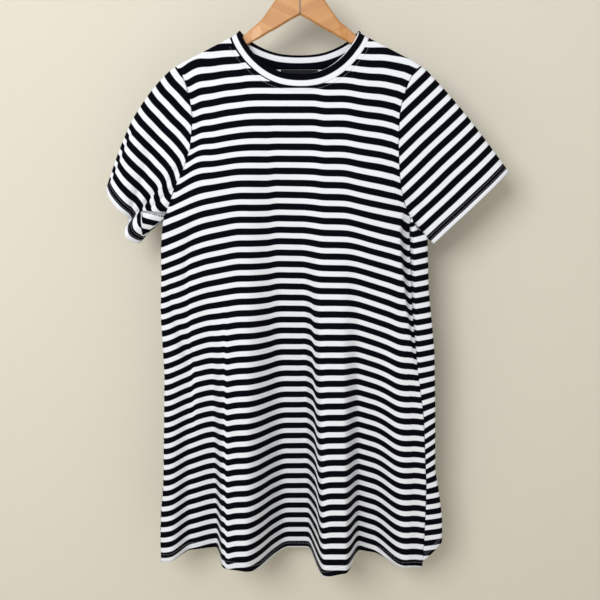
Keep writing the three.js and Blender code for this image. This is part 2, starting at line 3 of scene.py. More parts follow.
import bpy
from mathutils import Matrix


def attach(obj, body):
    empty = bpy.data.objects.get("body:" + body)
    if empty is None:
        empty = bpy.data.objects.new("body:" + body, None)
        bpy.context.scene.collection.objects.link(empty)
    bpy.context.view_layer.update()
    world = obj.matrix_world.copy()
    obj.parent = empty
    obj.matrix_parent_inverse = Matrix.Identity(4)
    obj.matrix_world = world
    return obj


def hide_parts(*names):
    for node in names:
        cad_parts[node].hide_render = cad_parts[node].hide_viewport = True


bl_info = {
    "name": "Striped T-shirt Dress",
    "version": (1, 0, 0),
    "blender": (4, 5, 0),
    "location": "View3D > Sidebar > Dress",
    "description": "Makes a striped jersey T-shirt dress hanging on a wooden hanger",
    "category": "Add Mesh",
}

import math

import bmesh
import bpy
import numpy as np
from bpy.props import FloatProperty, FloatVectorProperty, PointerProperty
from mathutils import Matrix, Vector

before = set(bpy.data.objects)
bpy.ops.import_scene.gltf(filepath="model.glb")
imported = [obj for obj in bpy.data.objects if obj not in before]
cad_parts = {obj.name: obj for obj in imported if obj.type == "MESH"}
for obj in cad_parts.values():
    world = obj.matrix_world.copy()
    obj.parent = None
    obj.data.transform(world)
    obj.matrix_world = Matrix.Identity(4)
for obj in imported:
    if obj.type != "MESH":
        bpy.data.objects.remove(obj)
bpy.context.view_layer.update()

# The pattern and its tables are in millimetres, and pieces are made in metres.
MM = 0.001

# Driving sizes of the cut, as in the part.
SHOULDER_BELOW_HOOK = 160
NECK_HALF_WIDTH = 107
NECK_DEPTH = {"front": 72, "back": 43}
NECK_REACH_POWER = 2.2
NECK_DEPTH_POWER = 0.75
TIP_X = 191
TIP_LEVEL = 18
TIP_DROP = 42
UNDERARM_LEVEL = 251
CHEST_LEVEL = 240
HEM_LEVEL = 875
HEM_SIDE_RISE = 37
CENTRE_X = -1
SEAM_GAP = 0.3
BAND_WIDTH = 19
LABEL_HALF_WIDTH = 29
LABEL_TOP = 46
LABEL_HEIGHT = 25
SHOULDER_ROUND = 7.8
SHOULDER_SLOPE = TIP_DROP / (TIP_X - NECK_HALF_WIDTH)
TURN_HEIGHT = 2.9
TURN_FADE_FROM = 30
TURN_POWER = 3.5
SIDE_DROP = 16
SIDE_DROP_X = 167
SLEEVE_GAP = SEAM_GAP * 2.6
BAND_GAP = SEAM_GAP * 2.1

# The cloth closes at its sides from this level down to the underarm. Further below the shoulder
# line than the last two sizes it is wholly rounded, and as deep as TUBE_DEPTHS says.
CLOSING_LEVEL = 140
CLOSING_SHARE = 0.8
ROUND_BELOW = 70
FULL_BELOW = 150

# Stripes: dark centres lie a pitch apart from the first one at the centre front.
FIRST_DARK_LEVEL = 88
BACK_STRIPE_SHIFT = 9.5
LAST_CUFF_STRIPE = 11.5

# Mesh steps
COLUMN_PARTS = 5
ROW_PARTS = 8
LEVEL_STEP = 3
SECTION_SAMPLES = 240
WRAP_SAMPLES = 24
SLEEVE_ROWS = 72
BAND_ROWS = 13
LABEL_COLUMNS = 60
LABEL_ROWS = 24
NECK_PARTS = COLUMN_PARTS * 10
OUTER_PARTS = COLUMN_PARTS * 9
UPPER_PARTS = ROW_PARTS * 8
UNDERARM_PARTS = ROW_PARTS * 3
SKIRT_PARTS = ROW_PARTS * 13
EVEN_ROWS_FROM = 150

# The cloth beside the neck is evened out over this reach, less so near its outer edges.
EVEN_REACH = 16
EVEN_FADE = 45

# Gathers along the armhole and side seams
PUCKER_HEIGHT = 0.35
PUCKER_PITCH = 13
PUCKER_WANDER = 31
PUCKER_REACH = 7

# A crease fades in and out over this share of its length, and the low end of a sharp one over less.
CREASE_FADE = 0.3
SHARP_END_FADE = 0.2

# Steps between two knots of a cuff, and the share of the neck's half width where the high
# shoulder begins.
CUFF_STEPS = 40
HIGH_SHOULDER = 0.999

# Stitching: its rows above an edge, how far it lies on the cloth, and the thread's share of a step.
HEM_STITCHES = (9, 14)
CUFF_STITCHES = (8.5, 13.5)
STITCH_LIFT = 0.1
STITCH_SHARE = 0.8

# The glue line between the hanger's arms is darker, this far to each side of the middle.
GLUE_LINE_REACH = 1.3

# The label hangs inside the back's cloth. Its tape is thin, in metres.
LABEL_STANDOFF = 0.9 + SEAM_GAP + 0.5
LABEL_FULLNESS = 0.5
TAPE_THICKNESS = 0.0006

# Way round a closed cuff, as a share of that to its last column.
CUFF_CLOSING = 1.006


def columns(names, *rows):
    """A short table in millimetres, with one array for each named column."""
    return dict(zip(names.split(), np.array(rows, float).T))


# Where each panel ends. The back wraps forward on the right, so the seam lies inside the outline.
PANEL_EDGES = columns(
    "level left seam right",
    (18, -193, 189, 189),
    (32, -182, 175, 175),
    (50, -175, 167, 167),
    (74, -170, 159, 159),
    (97, -167, 155, 155),
    (144, -172, 154, 154),
    (179, -184, 156, 156),
    (204, -197, 159, 159),
    (230, -208, 166, 166),
    (251, -218, 177, 178),
    (270, -221, 177, 182),
    (290, -223, 178, 191),
    (312, -224, 179, 204),
    (400, -227, 184, 209),
    (500, -224, 194, 221),
    (580, -227, 206, 225),
    (700, -232, 214, 229),
    (740, -237, 214, 236),
    (795, -240, 213, 243),
    (875, -240, 209, 245),
)

# How far the front and the back stand off the middle plane.
TUBE_DEPTHS = columns(
    "level front back",
    (0, 8, 8),
    (60, 13, 11),
    (200, 20, 16),
    (400, 13, 15),
    (875, 12, 15),
)

# Cloth near the sides hangs lower than at the middle.
SIDE_SAG = columns(
    "level left right",
    (180, 0, 0),
    (290, 15, 9),
    (480, 16, 9),
    (740, 0, 8),
    (875, -7, 8),
)

# Where the sag begins and how far it takes to be whole. On the right it fades out before the edge.
SAG_LEFT = {"from": 110, "over": 110}
SAG_RIGHT = {"from": 70, "over": 70, "end": 215, "fade": 60}

# Crests and valleys of the drape, from left to right. Depth is at the hem, to the back where positive.
FOLD_LINES = {
    "front": columns(
        "chest_x hem_x depth start",
        (-225, -240, 0, 300),
        (-212, -224, -3, 300),
        (-178, -190, 28, 380),
        (-150, -146, 36, 380),
        (-118, -128, -36, 380),
        (-88, -94, -36, 380),
        (-30, -20, 60, 110),
        (0, 14, 60, 110),
        (34, 42, -42, 300),
        (62, 76, -40, 300),
        (92, 106, 40, 430),
        (118, 128, 40, 430),
        (158, 182, -6, 300),
        (180, 210, 0, 300),
    ),
    "back": columns(
        "chest_x hem_x depth start",
        (-225, -240, 0, 300),
        (-170, -175, 34, 300),
        (-95, -90, 8, 300),
        (-10, -2, 60, 110),
        (68, 72, 6, 300),
        (122, 128, 36, 300),
        (205, 245, 0, 300),
    ),
}

# How far the stripes of the front hang below their level, by place across the front.
DROOP_PLACES = (-190, -165, -130, -90, 0, 60, 100, 135, 165)
DROOP_REACH = 22
STRIPE_DROOP = columns(
    "level p0 p1 p2 p3 p4 p5 p6 p7 p8",
    (88, 0, -8, -2, 0, 0, 3, 6, 2, 0),
    (164, 4, -8, 1, 1, 0, 3, 6, 4, 2),
    (240, 7, 4, 5, 2, 0, 2, 5, 3, 1),
    (316, 8, 4, 6, 2, 0, 2, 2, 0, 2),
    (400, 3, 2, 5, 2, 0, 0, 0, 0, 6),
    (500, -1, -3, 3, 2, 0, 0, -1, -1, 8),
    (620, -3, -6, -1, 0, 0, -1, -3, -3, 7),
    (760, -4, -6, -4, -2, 0, -2, -3, -3, 1),
)

# Where the back wraps forward on the right its stripes lie nearly level, rising to the right.
# Below is how far under the hook's seat; middle is x at the middle of the strip.
WRAP_STRIPE = {"level": 354, "below": 495.8, "per_mm": 1.04}
WRAP_FROM = {"across": 70, "over": 100, "level": 200, "down": 80}
WRAP_RISE = columns(
    "below rise middle shift",
    (480, 0.2, 195, 0),
    (600, 0.14, 207, 1.7),
    (700, 0.18, 215, 3.6),
    (750, 0.3, 222, 4.5),
    (790, 0.6, 223, 4),
    (850, 0.6, 225, 3.5),
    (880, 0.3, 226, 1.5),
    (900, 0.12, 226, -1),
    (940, 0.08, 227, -2.3),
    (1000, 0.08, 229, -4),
)

# The front rolls back before the right side seam: width of the roll, its depth, and how much
# further down its stripes come.
SIDE_ROLL = columns(
    "level width depth drop",
    (242, 14, 0, 0),
    (256, 17, 8, 4),
    (276, 19, 17, 9),
    (330, 17, 17, 10),
    (395, 12, 13, 9),
    (460, 8, 7, 5),
    (520, 5, 0, 0),
)
WRAP_ROLL_WIDTH = 3

# Sharp creases down the front: the cloth steps back to the right of each one and its stripes drop.
# Width is that of the step, and reach is how far to each side it fades out. Drop grows downward.
SHARP_CREASES = columns(
    "from_x from_level to_x to_level width reach depth drop",
    (17, 320, 34, 860, 2.4, 11, 1.6, 10),
    (-120, 350, -126, 960, 2.4, 12, -1.6, 4.5),
    (-183, 240, -176, 640, 2.6, 14, -1.4, -2.2),
)

# The neckband was cut a little off the stripe: place of its dark stripe from the folded edge,
# from the right shoulder down the front, over the left shoulder and along the back.
BAND_DRIFT = columns(
    "share centre",
    (0, 7),
    (0.14, 5.8),
    (0.29, 4.5),
    (0.45, 3.6),
    (0.55, 2),
    (0.66, -1),
    (0.78, -1.6),
    (1, -0.5),
)
NECK_STITCH_OUT = 5.5
# The folded band is thicker than one layer, and its seam edge is tucked behind the panels.
BAND_LAYERS = 1.3
BAND_TUCK = 1.6
BAND_TUCK_DEPTH = 1.7

# Cuff outlines: down the front from the outer corner to the inner one, then up the back.
# Along is past the straight cuff line.
CUFFS = {
    "left": columns(
        "across depth along",
        (0, 2, 0),
        (14, -13, 1),
        (36, -17, -2),
        (54, -9, -6),
        (62, 0, -4),
        (69, -9, 6),
        (80, -15, 11),
        (93, -8, 7),
        (100, 3, 0),
        (84, 18, 2),
        (48, 20, 0),
        (16, 14, 0),
    ),
    "right": columns(
        "across depth along",
        (0, 0, 0),
        (26, -10, 0),
        (82, -13, 0),
        (136, -9, 0),
        (163, 0, 2),
        (136, 10, 5),
        (82, 12, 3),
        (26, 9, 0),
    ),
}
SLEEVES = {
    "left": {"way": -1, "outer": (-308, -390), "inner": (-258, -476), "bulge": 17},
    "right": {"way": 1, "outer": (330, -363), "inner": (215, -475), "bulge": 5},
}

# Creases: from and to on the cloth, bow to the side, width and depth.
# Across is measured from the middle of the panel. Depth is outward where positive.
CREASES = {
    "front": columns(
        "from_across from_level to_across to_level bow width depth",
        (-150, 250, -176, 400, 6, 9, -5),
        (-196, 262, -150, 340, 8, 10, -4),
        (-205, 300, -190, 560, 6, 8, -6),
    ),
    "back": columns(
        "from_across from_level to_across to_level bow width depth",
        (150, 240, 190, 400, -8, 10, -5),
        (-150, 240, -185, 380, 8, 10, -5),
        (-60, 60, -10, 110, 6, 12, 2),
    ),
}

# On the left sleeve the lowest corner is folded under, and its stripes run nearly level there.
CORNER_FOLD = {"edge_x": -254, "edge_z": -424, "edge_fall": 0.1, "x": -240.6, "z": -441.2,
               "stripe_fall": 0.32, "per_z": 1.06, "depth": 2.5, "soft_x": 4, "soft_z": 3}

# A narrow fold runs up the left sleeve's outer edge, and its stripes lie off those beside it.
OUTER_FOLD = {"width": 9, "from": 12, "to": 108, "shift": -4.5, "soft": 2, "fade_in": 10,
              "fade_out": 15, "back_share": 0.25}

# On a sleeve, across runs round the cuff from the outer edge, and level is height above the cuff.
SLEEVE_CREASES = {
    "left": columns(
        "from_across from_level to_across to_level bow width depth",
        (22, 168, 74, -14, 5, 7, -6),
        (6, 140, 44, 6, 3, 9, 3.5),
        (52, 150, 92, 10, -4, 8, 3),
        (100, 120, 96, 14, 3, 6, -4),
        (150, 130, 170, 10, 6, 10, -4),
        (9, 118, 8, 4, 0, 2.5, -2),
    ),
    "right": columns(
        "from_across from_level to_across to_level bow width depth",
        (150, 120, 128, 30, -6, 10, -3),
        (60, 170, 74, 20, 8, 16, -2),
        (240, 150, 226, 20, 8, 12, -3),
    ),
}


def clamp(t):
    return np.clip(t, 0, 1)


def smooth(t):
    t = clamp(t)
    return t * t * (3 - 2 * t)


def lerp(a, b, t):
    return a + (b - a) * t


def lookup(table, level, column):
    return np.interp(level, table["level"], table[column])


def unit(vectors):
    return vectors / np.maximum(np.linalg.norm(vectors, axis=-1, keepdims=True), 1e-9)


def run_along(points):
    """Length along a line of points, from its first one to each."""
    steps = np.linalg.norm(np.diff(points, axis=0), axis=1)
    return np.concatenate([[0], np.cumsum(steps)])


def place_along(at, run, points):
    """Where a line of points is at one or more lengths along it."""
    return np.stack([np.interp(at, run, points[:, k]) for k in range(3)], axis=-1)


# The drape of the panels

def side_drop(x):
    """Drop of the cloth near the shoulders below its own level."""
    return SIDE_DROP * np.abs(x / SIDE_DROP_X) ** 3


def side_sag(x, level):
    left = lookup(SIDE_SAG, level, "left") * smooth((-x - SAG_LEFT["from"]) / SAG_LEFT["over"])
    right = lookup(SIDE_SAG, level, "right") * smooth((x - SAG_RIGHT["from"]) / SAG_RIGHT["over"])
    return left + right * smooth((SAG_RIGHT["end"] - x) / SAG_RIGHT["fade"])


def shoulder_line(x):
    return SHOULDER_SLOPE * (np.abs(x - CENTRE_X) - NECK_HALF_WIDTH)


def fold_offset(x, level, folds):
    """How far the fold lines move the cloth at one level."""
    down = clamp((level - CHEST_LEVEL) / (HEM_LEVEL - CHEST_LEVEL))
    line_x = lerp(folds["chest_x"], folds["hem_x"], down)
    line_y = folds["depth"] * clamp((level - folds["start"]) / (HEM_LEVEL - folds["start"]))
    after = np.clip(np.searchsorted(line_x, x), 1, len(line_x) - 1)
    share = (x - line_x[after - 1]) / (line_x[after] - line_x[after - 1])
    return lerp(line_y[after - 1], line_y[after], smooth(share))


def tube_depth(x, below, level, side):
    """Distance of the cloth from the middle plane: round over the hanger, then a flat tube."""
    left = lookup(PANEL_EDGES, level, "left")
    right = lookup(PANEL_EDGES, level, "right")
    across = (x - (left + right) / 2) / ((right - left) / 2)
    down = smooth((level - CLOSING_LEVEL) / (UNDERARM_LEVEL - CLOSING_LEVEL))
    closing = CLOSING_SHARE + (1 - CLOSING_SHARE) * down
    shape = np.cbrt(1 - np.minimum(1, np.abs(across * closing)) ** 3)
    turn = np.minimum(below + 0.01, SHOULDER_ROUND) / SHOULDER_ROUND
    over_hanger = SHOULDER_ROUND * np.sqrt(1 - (1 - turn) ** 2)
    full = lookup(TUBE_DEPTHS, level, side) - TUBE_DEPTHS[side][0]
    rounding = lerp(1, shape, smooth(below / ROUND_BELOW))
    return rounding * (over_hanger + full * smooth(below / FULL_BELOW))


def upper_y(x, level, side):
    """Place of the cloth above the folds, to the front or the back of the middle plane."""
    below = np.maximum(0, level + side_drop(x) - shoulder_line(x))
    depth = tube_depth(x, below, level, side)
    return -depth if side == "front" else depth


def panel_y(x, level, side):
    return upper_y(x, level, side) + fold_offset(x, level, FOLD_LINES[side])


def section(level, side):
    """The cut of a panel across one level, with its length along the cloth."""
    left = lookup(PANEL_EDGES, level, "left")
    seam = lookup(PANEL_EDGES, level, "seam")
    right = lookup(PANEL_EDGES, level, "right")
    end = seam if side == "front" else right
    turn = np.linspace(0, math.pi, SECTION_SAMPLES + 1)
    x = lerp(left, end, 0.5 - 0.5 * np.cos(turn))
    y = panel_y(x, level, side)
    if side == "back" and level > UNDERARM_LEVEL:
        wrap = lerp(right, seam, np.linspace(1 / WRAP_SAMPLES, 1, WRAP_SAMPLES) ** 2)
        x = np.concatenate([x, wrap])
        y = np.concatenate([y, panel_y(wrap, level, "front")])
    return x, y, run_along(np.stack([x, y], axis=-1))


def turn_height(x, level):
    """Height that the cloth beside the neck keeps, as the turn over the hanger takes it up."""
    below = clamp((level + side_drop(x) - shoulder_line(x)) / SHOULDER_ROUND)
    from_centre = np.abs(x - CENTRE_X)
    beside_neck = smooth((from_centre - TURN_FADE_FROM) / (NECK_HALF_WIDTH - TURN_FADE_FROM))
    return TURN_HEIGHT * (1 - (1 - below) ** TURN_POWER) * beside_neck


def stripe_droop(x, level):
    weights = [np.exp(-(((x - place) / DROOP_REACH) ** 2)) for place in DROOP_PLACES]
    droops = [lookup(STRIPE_DROOP, level, f"p{k}") for k in range(len(DROOP_PLACES))]
    return sum(w * d for w, d in zip(weights, droops)) / np.maximum(sum(weights), 1e-6)


def sharp_steps(x, level, what):
    """Steps across the sharp creases, in depth or in the drop of the stripes."""
    steps = np.zeros_like(x)
    for row in zip(*SHARP_CREASES.values()):
        crease = dict(zip(SHARP_CREASES, row))
        along = (level - crease["from_level"]) / (crease["to_level"] - crease["from_level"])
        aside = x - lerp(crease["from_x"], crease["to_x"], along)
        fade = smooth(along / CREASE_FADE) * smooth((1 - along) / SHARP_END_FADE)
        near = np.exp(-((aside / crease["reach"]) ** 2))
        size = crease[what] * (along if what == "drop" else 1)
        steps += size * fade * np.tanh(aside / crease["width"]) * near
    return steps


def neck_shape(reach):
    return (1 - np.minimum(reach, 1) ** NECK_REACH_POWER) ** NECK_DEPTH_POWER


def neck_height(x, side):
    """Height of the neck curve from the high shoulder, without the turn over the hanger."""
    return -NECK_DEPTH[side] * neck_shape(np.abs(x - CENTRE_X) / NECK_HALF_WIDTH)


def hem_level(share):
    return HEM_LEVEL - HEM_SIDE_RISE * np.sin(math.pi / 2 * clamp((np.abs(share) - 0.3) / 0.7))


class Panel:
    """The front or the back: a fine grid of cloth, rows from the top edge to the hem."""

    def __init__(self, side):
        self.side = side
        self.outward = 1 if side == "front" else -1
        self.levels = np.arange(TIP_LEVEL, HEM_LEVEL + LEVEL_STEP, LEVEL_STEP, float)
        cuts = [section(level, side) for level in self.levels]
        self.tip_x, _, self.tip_lengths = cuts[0]
        self.shares = self.column_shares()
        places = [(self.shares + 1) / 2 * lengths[-1] for _, _, lengths in cuts]
        self.x = np.array([np.interp(p, c[2], c[0]) for p, c in zip(places, cuts)])
        self.y = np.array([np.interp(p, c[2], c[1]) for p, c in zip(places, cuts)])
        self.width = np.array([c[2][-1] for c in cuts])
        self.drape(self.row_levels())

    def share_of(self, x):
        return 2 * np.interp(x, self.tip_x, self.tip_lengths) / self.tip_lengths[-1] - 1

    def column_shares(self):
        """Columns stand closer together on the steep ends of the neck curve."""
        reaches = 1 - (1 - np.linspace(0, 1, NECK_PARTS + 1)) ** 1.9
        half = self.share_of(CENTRE_X + NECK_HALF_WIDTH * reaches)
        other = self.share_of(CENTRE_X - NECK_HALF_WIDTH * reaches)[::-1]
        left = np.linspace(-1, other[0], OUTER_PARTS + 1)[:-1]
        right = np.linspace(half[-1], 1, OUTER_PARTS + 1)[1:]
        self.neck = (OUTER_PARTS, OUTER_PARTS + 2 * NECK_PARTS)
        return np.concatenate([left, other, half[1:], right])

    def at(self, levels):
        """x, y and cloth width at one level for each column."""
        row = np.clip((levels - TIP_LEVEL) / LEVEL_STEP, 0, len(self.levels) - 1.001)
        low = row.astype(int)
        part = row - low
        column = np.arange(len(self.shares))
        x = lerp(self.x[low, column], self.x[low + 1, column], part)
        y = lerp(self.y[low, column], self.y[low + 1, column], part)
        return x, y, lerp(self.width[low], self.width[low + 1], part)

    def top_levels(self):
        """The top edge: the neck curve in the middle, the shoulder seams outside it."""
        level = np.full(len(self.shares), float(TIP_LEVEL))
        for _ in range(30):
            x = self.at(level)[0]
            reach = np.abs(x - CENTRE_X) / NECK_HALF_WIDTH
            neck = NECK_DEPTH[self.side] * neck_shape(reach)
            drop = np.where(reach < 1, neck, shoulder_line(x))
            level = lerp(level, drop - side_drop(x), 0.5)
        return level

    def row_levels(self):
        """Levels of the rows: closer together near the top edge and the hem."""
        upper = np.linspace(0, 1, UPPER_PARTS + 1) ** 1.8
        lower = np.linspace(0, 1, UNDERARM_PARTS + 1)[1:]
        down = np.linspace(0, 1, SKIRT_PARTS + 1)[1:]
        top = self.top_levels()
        hem = hem_level(self.shares)
        rows = [lerp(top, EVEN_ROWS_FROM, t) for t in upper]
        rows += [np.full_like(top, lerp(EVEN_ROWS_FROM, UNDERARM_LEVEL, t)) for t in lower]
        rows += [lerp(UNDERARM_LEVEL, hem, t) for t in down]
        self.underarm_row = len(upper) + len(lower) - 1
        return rows

    def drape(self, row_levels):
        """Each step down keeps the cloth's own length, whatever the folds do."""
        points = []
        across_rows = []
        for j, levels in enumerate(row_levels):
            x, y, width = self.at(levels)
            y = np.where(levels < TIP_LEVEL, upper_y(x, levels, self.side), y)
            across = self.shares * width / 2
            if j == 0:
                z = -SHOULDER_BELOW_HOOK - levels - side_drop(x) + turn_height(x, levels)
            else:
                cloth = (levels - row_levels[j - 1]) ** 2 + (across - across_rows[-1]) ** 2
                sideways = (x - last_x) ** 2 + (y - last_y) ** 2
                z = z - np.sqrt(np.maximum(cloth - sideways, 0))
            last_x, last_y = x, y
            points.append(np.stack([x, y, z - side_sag(x, levels)], axis=-1))
            across_rows.append(across)
        self.points = np.array(points)
        self.across = np.array(across_rows)
        self.level = np.array(row_levels)
        self.flat_area = self.cloth_area()
        self.even_out()
        self.trim_edges(SEAM_GAP * 1.2)
        self.smooth_points = self.points.copy()
        relief = crease_relief(self.across, self.level, CREASES[self.side])
        relief += seam_pucker(self)
        self.points = self.points + self.normals() * relief[..., None]
        if self.side == "front":
            self.points[..., 1] += sharp_steps(self.points[..., 0], self.level, "depth")
        self.stripes = self.stripe_levels()
        self.points[..., 1] += self.side_roll("depth")

    def normals(self):
        return self.outward * grid_normals(self.points)

    def side_roll(self, what):
        """How far the cloth goes back, or down, in the channel beside the right side seam."""
        inward = self.across[:, -1:] - self.across
        width = lookup(SIDE_ROLL, self.level, "width") if self.side == "front" else WRAP_ROLL_WIDTH
        return lookup(SIDE_ROLL, self.level, what) * (1 - clamp(inward / width) ** 3)

    def stripe_levels(self):
        """Level in the stripe pattern, as the cloth is pulled off its level in places."""
        x = self.points[..., 0]
        z = self.points[..., 2]
        if self.side == "front":
            hang = stripe_droop(x, self.level) + sharp_steps(x, self.level, "drop")
            return self.level - hang - self.side_roll("drop")
        rise, middle, shift = (np.interp(-z, WRAP_RISE["below"], WRAP_RISE[name])
                               for name in ("rise", "middle", "shift"))
        seen = WRAP_STRIPE["level"] - (z + WRAP_STRIPE["below"]) * WRAP_STRIPE["per_mm"]
        seen = seen + shift + rise * (x - middle)
        begun = smooth((self.across - WRAP_FROM["across"]) / WRAP_FROM["over"])
        share = begun * smooth((self.level - WRAP_FROM["level"]) / WRAP_FROM["down"])
        return lerp(self.level + BACK_STRIPE_SHIFT, seen, share)

    def even_out(self):
        """Evens the height of the columns that start at the neck with those beside them."""
        across = self.across[UPPER_PARTS]
        hang = self.points[UPPER_PARTS, :, 2] + side_drop(self.points[UPPER_PARTS, :, 0])
        inside = smooth((across[-1] - np.abs(across)) / EVEN_FADE)
        change = (blurred(across, hang, EVEN_REACH) - hang) * inside
        down = smooth(np.arange(len(self.points)) / UPPER_PARTS)
        self.points[..., 2] += down[:, None] * change

    def cloth_area(self):
        """Area of the flat cut, in square metres."""
        wide = np.diff(self.across, axis=1)[:-1]
        long = np.diff(self.level, axis=0)[:, :-1]
        return float((wide * long).sum()) * MM * MM

    def trim_edges(self, amount):
        """Moves the outer columns away from the neighbour they are sewn to."""
        for edge, inner in ((0, 1), (-1, -2)):
            inward = unit(self.points[:, inner] - self.points[:, edge])
            self.points[:, edge] += inward * amount


def blurred(along, values, reach):
    """Values at places along a line, evened out over a reach to each side."""
    step = 2.0
    even = np.arange(along[0], along[-1] + step, step)
    offsets = np.arange(-3 * reach, 3 * reach + step, step)
    weights = np.exp(-0.5 * (offsets / reach) ** 2)
    sampled = np.pad(np.interp(even, along, values), len(offsets) // 2, mode="edge")
    return np.interp(along, even, np.convolve(sampled, weights / weights.sum(), mode="valid"))


def grid_normals(points, closed=False):
    """Unit normals of a grid of rows and columns: across times up."""
    if closed:
        across = np.roll(points, -1, axis=1) - np.roll(points, 1, axis=1)
    else:
        across = np.gradient(points, axis=1)
    down = np.gradient(points, axis=0)
    return unit(np.cross(across, -down))


def crease_relief(across, level, creases):
    """Soft troughs and ridges along the creases, fading out at their ends."""
    relief = np.zeros_like(across)
    for row in zip(*creases.values()):
        from_across, from_level, to_across, to_level, bow, width, depth = row
        run = np.array([to_across - from_across, to_level - from_level])
        length = np.hypot(*run)
        run = run / length
        along = ((across - from_across) * run[0] + (level - from_level) * run[1]) / length
        aside = (across - from_across) * run[1] - (level - from_level) * run[0]
        inside = clamp(along)
        aside = aside - bow * 4 * inside * (1 - inside)
        fade = smooth(along / CREASE_FADE) * smooth((1 - along) / CREASE_FADE)
        relief += depth * fade * np.exp(-((aside / width) ** 2))
    return relief


def seam_pucker(panel):
    """Shallow gathers that run out from the armhole and side seams."""
    half = panel.across[:, -1:]
    inward = half - np.abs(panel.across)
    wander = 2 * np.sin(panel.level / PUCKER_WANDER)
    waves = np.sin(panel.level * 2 * math.pi / PUCKER_PITCH + wander)
    return PUCKER_HEIGHT * waves * np.exp(-inward / PUCKER_REACH)


# Making cloth and solid pieces

def cloth_mesh(name, points, across, level, thickness, closed=False, flip=False):
    """A cloth piece: a grid of quads moved to its points, with a UV map that follows the cut."""
    if closed:
        points = np.concatenate([points, points[:, :1]], axis=1)
    rows, cols = points.shape[:2]
    bm = bmesh.new()
    bmesh.ops.create_grid(bm, x_segments=cols - 1, y_segments=rows - 1, size=1)
    cut = bm.loops.layers.uv.new("Cut")
    place = {}
    for vert in bm.verts:
        col = round((vert.co.x + 1) / 2 * (cols - 1))
        row = round((1 - vert.co.y) / 2 * (rows - 1))
        place[vert] = (row, col)
    for face in bm.faces:
        for loop in face.loops:
            row, col = place[loop.vert]
            loop[cut].uv = (across[row, col] * MM, level[row, col] * MM)
    for vert, (row, col) in place.items():
        vert.co = Vector(points[row, col]) * MM
    if closed:
        bmesh.ops.remove_doubles(bm, verts=bm.verts, dist=1e-6)
    if flip:
        bmesh.ops.reverse_faces(bm, faces=bm.faces)
    piece = new_piece(name, bm)
    wall = piece.modifiers.new("Cloth wall", "SOLIDIFY")
    wall.thickness = thickness
    wall.offset = 0
    wall.use_rim = True
    return piece


def new_piece(name, bm):
    mesh = bpy.data.meshes.new(name)
    bm.to_mesh(mesh)
    bm.free()
    for polygon in mesh.polygons:
        polygon.use_smooth = True
    piece = bpy.data.objects.new(name, mesh)
    bpy.context.scene.collection.objects.link(piece)
    return piece


def stitch_piece(name, line, normals, pitch, length, radius, lift):
    """A row of thread stitches that lie on the cloth along a line of points."""
    run = run_along(line)
    bm = bmesh.new()
    for centre in np.arange(pitch / 2, run[-1], pitch):
        start, stop = place_along([centre - length / 2, centre + length / 2], run, line)
        normal = unit(place_along(centre, run, normals))
        middle = Vector((start + stop) / 2 + normal * lift)
        along = Vector(stop - start)
        if along.length < length * 0.2:
            continue
        turn = along.to_track_quat("X", "Z").to_matrix().to_4x4()
        shape = Matrix.Diagonal((length / 2 * MM, radius * MM, radius * MM, 1))
        matrix = Matrix.Translation(middle * MM) @ turn @ shape
        bmesh.ops.create_icosphere(bm, subdivisions=1, radius=1, matrix=matrix)
    return new_piece(name, bm)


def finish_piece(piece, material, replaced=None):
    piece.data.materials.append(material)
    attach(piece, "root")
    if replaced:
        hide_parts(replaced)
    return piece


# Shader node helpers

def feed(tree, socket, value):
    """Links a socket to the one that feeds it, or sets its plain value."""
    if isinstance(value, bpy.types.NodeSocket):
        tree.links.new(value, socket)
    elif socket.type == "RGBA":
        socket.default_value = (*value[:3], 1)
    else:
        socket.default_value = value


def add_node(tree, kind, **values):
    """A node with its settings, and with its named inputs fed."""
    node = tree.nodes.new(kind)
    for key, value in values.items():
        if hasattr(node, key):
            setattr(node, key, value)
        else:
            feed(tree, node.inputs[key.replace("_", " ")], value)
    return node


def math_node(tree, operation, *inputs):
    """A Math node fed by sockets or plain numbers; gives its output."""
    node = add_node(tree, "ShaderNodeMath", operation=operation)
    for socket, value in zip(node.inputs, inputs):
        feed(tree, socket, value)
    return node.outputs[0]


def mix_colour(tree, share, first, second):
    node = add_node(tree, "ShaderNodeMix", data_type="RGBA")
    for name, value in (("Factor", share), ("A", first), ("B", second)):
        feed(tree, next(s for s in node.inputs if s.name == name and s.enabled), value)
    return next(s for s in node.outputs if s.enabled)


def shade(colour, factor):
    return [channel * factor for channel in colour]


def shared(library, name, build):
    """The material or node group of that name, built the first time it is asked for."""
    return library.get(name) or build(name)


def group_tree(name, inputs, outputs):
    """A shader node group. An input with no default is a vector, and all others are numbers."""
    tree = bpy.data.node_groups.new(name, "ShaderNodeTree")
    for label, default in inputs.items():
        kind = "NodeSocketVector" if default is None else "NodeSocketFloat"
        socket = tree.interface.new_socket(label, in_out="INPUT", socket_type=kind)
        if default is not None:
            socket.default_value = default
    for label in outputs:
        tree.interface.new_socket(label, in_out="OUTPUT", socket_type="NodeSocketFloat")
    return tree, tree.nodes.new("NodeGroupInput").outputs, tree.nodes.new("NodeGroupOutput").inputs


def place_group(tree, name, build, **values):
    group = shared(bpy.data.node_groups, name, build)
    return add_node(tree, "ShaderNodeGroup", node_tree=group, **values).outputs


def new_material(name, **inputs):
    material = bpy.data.materials.new(name)
    material.use_nodes = True
    tree = material.node_tree
    shader = tree.nodes["Principled BSDF"]
    for key, value in inputs.items():
        feed(tree, shader.inputs[key.replace("_", " ")], value)
    return material, tree, shader


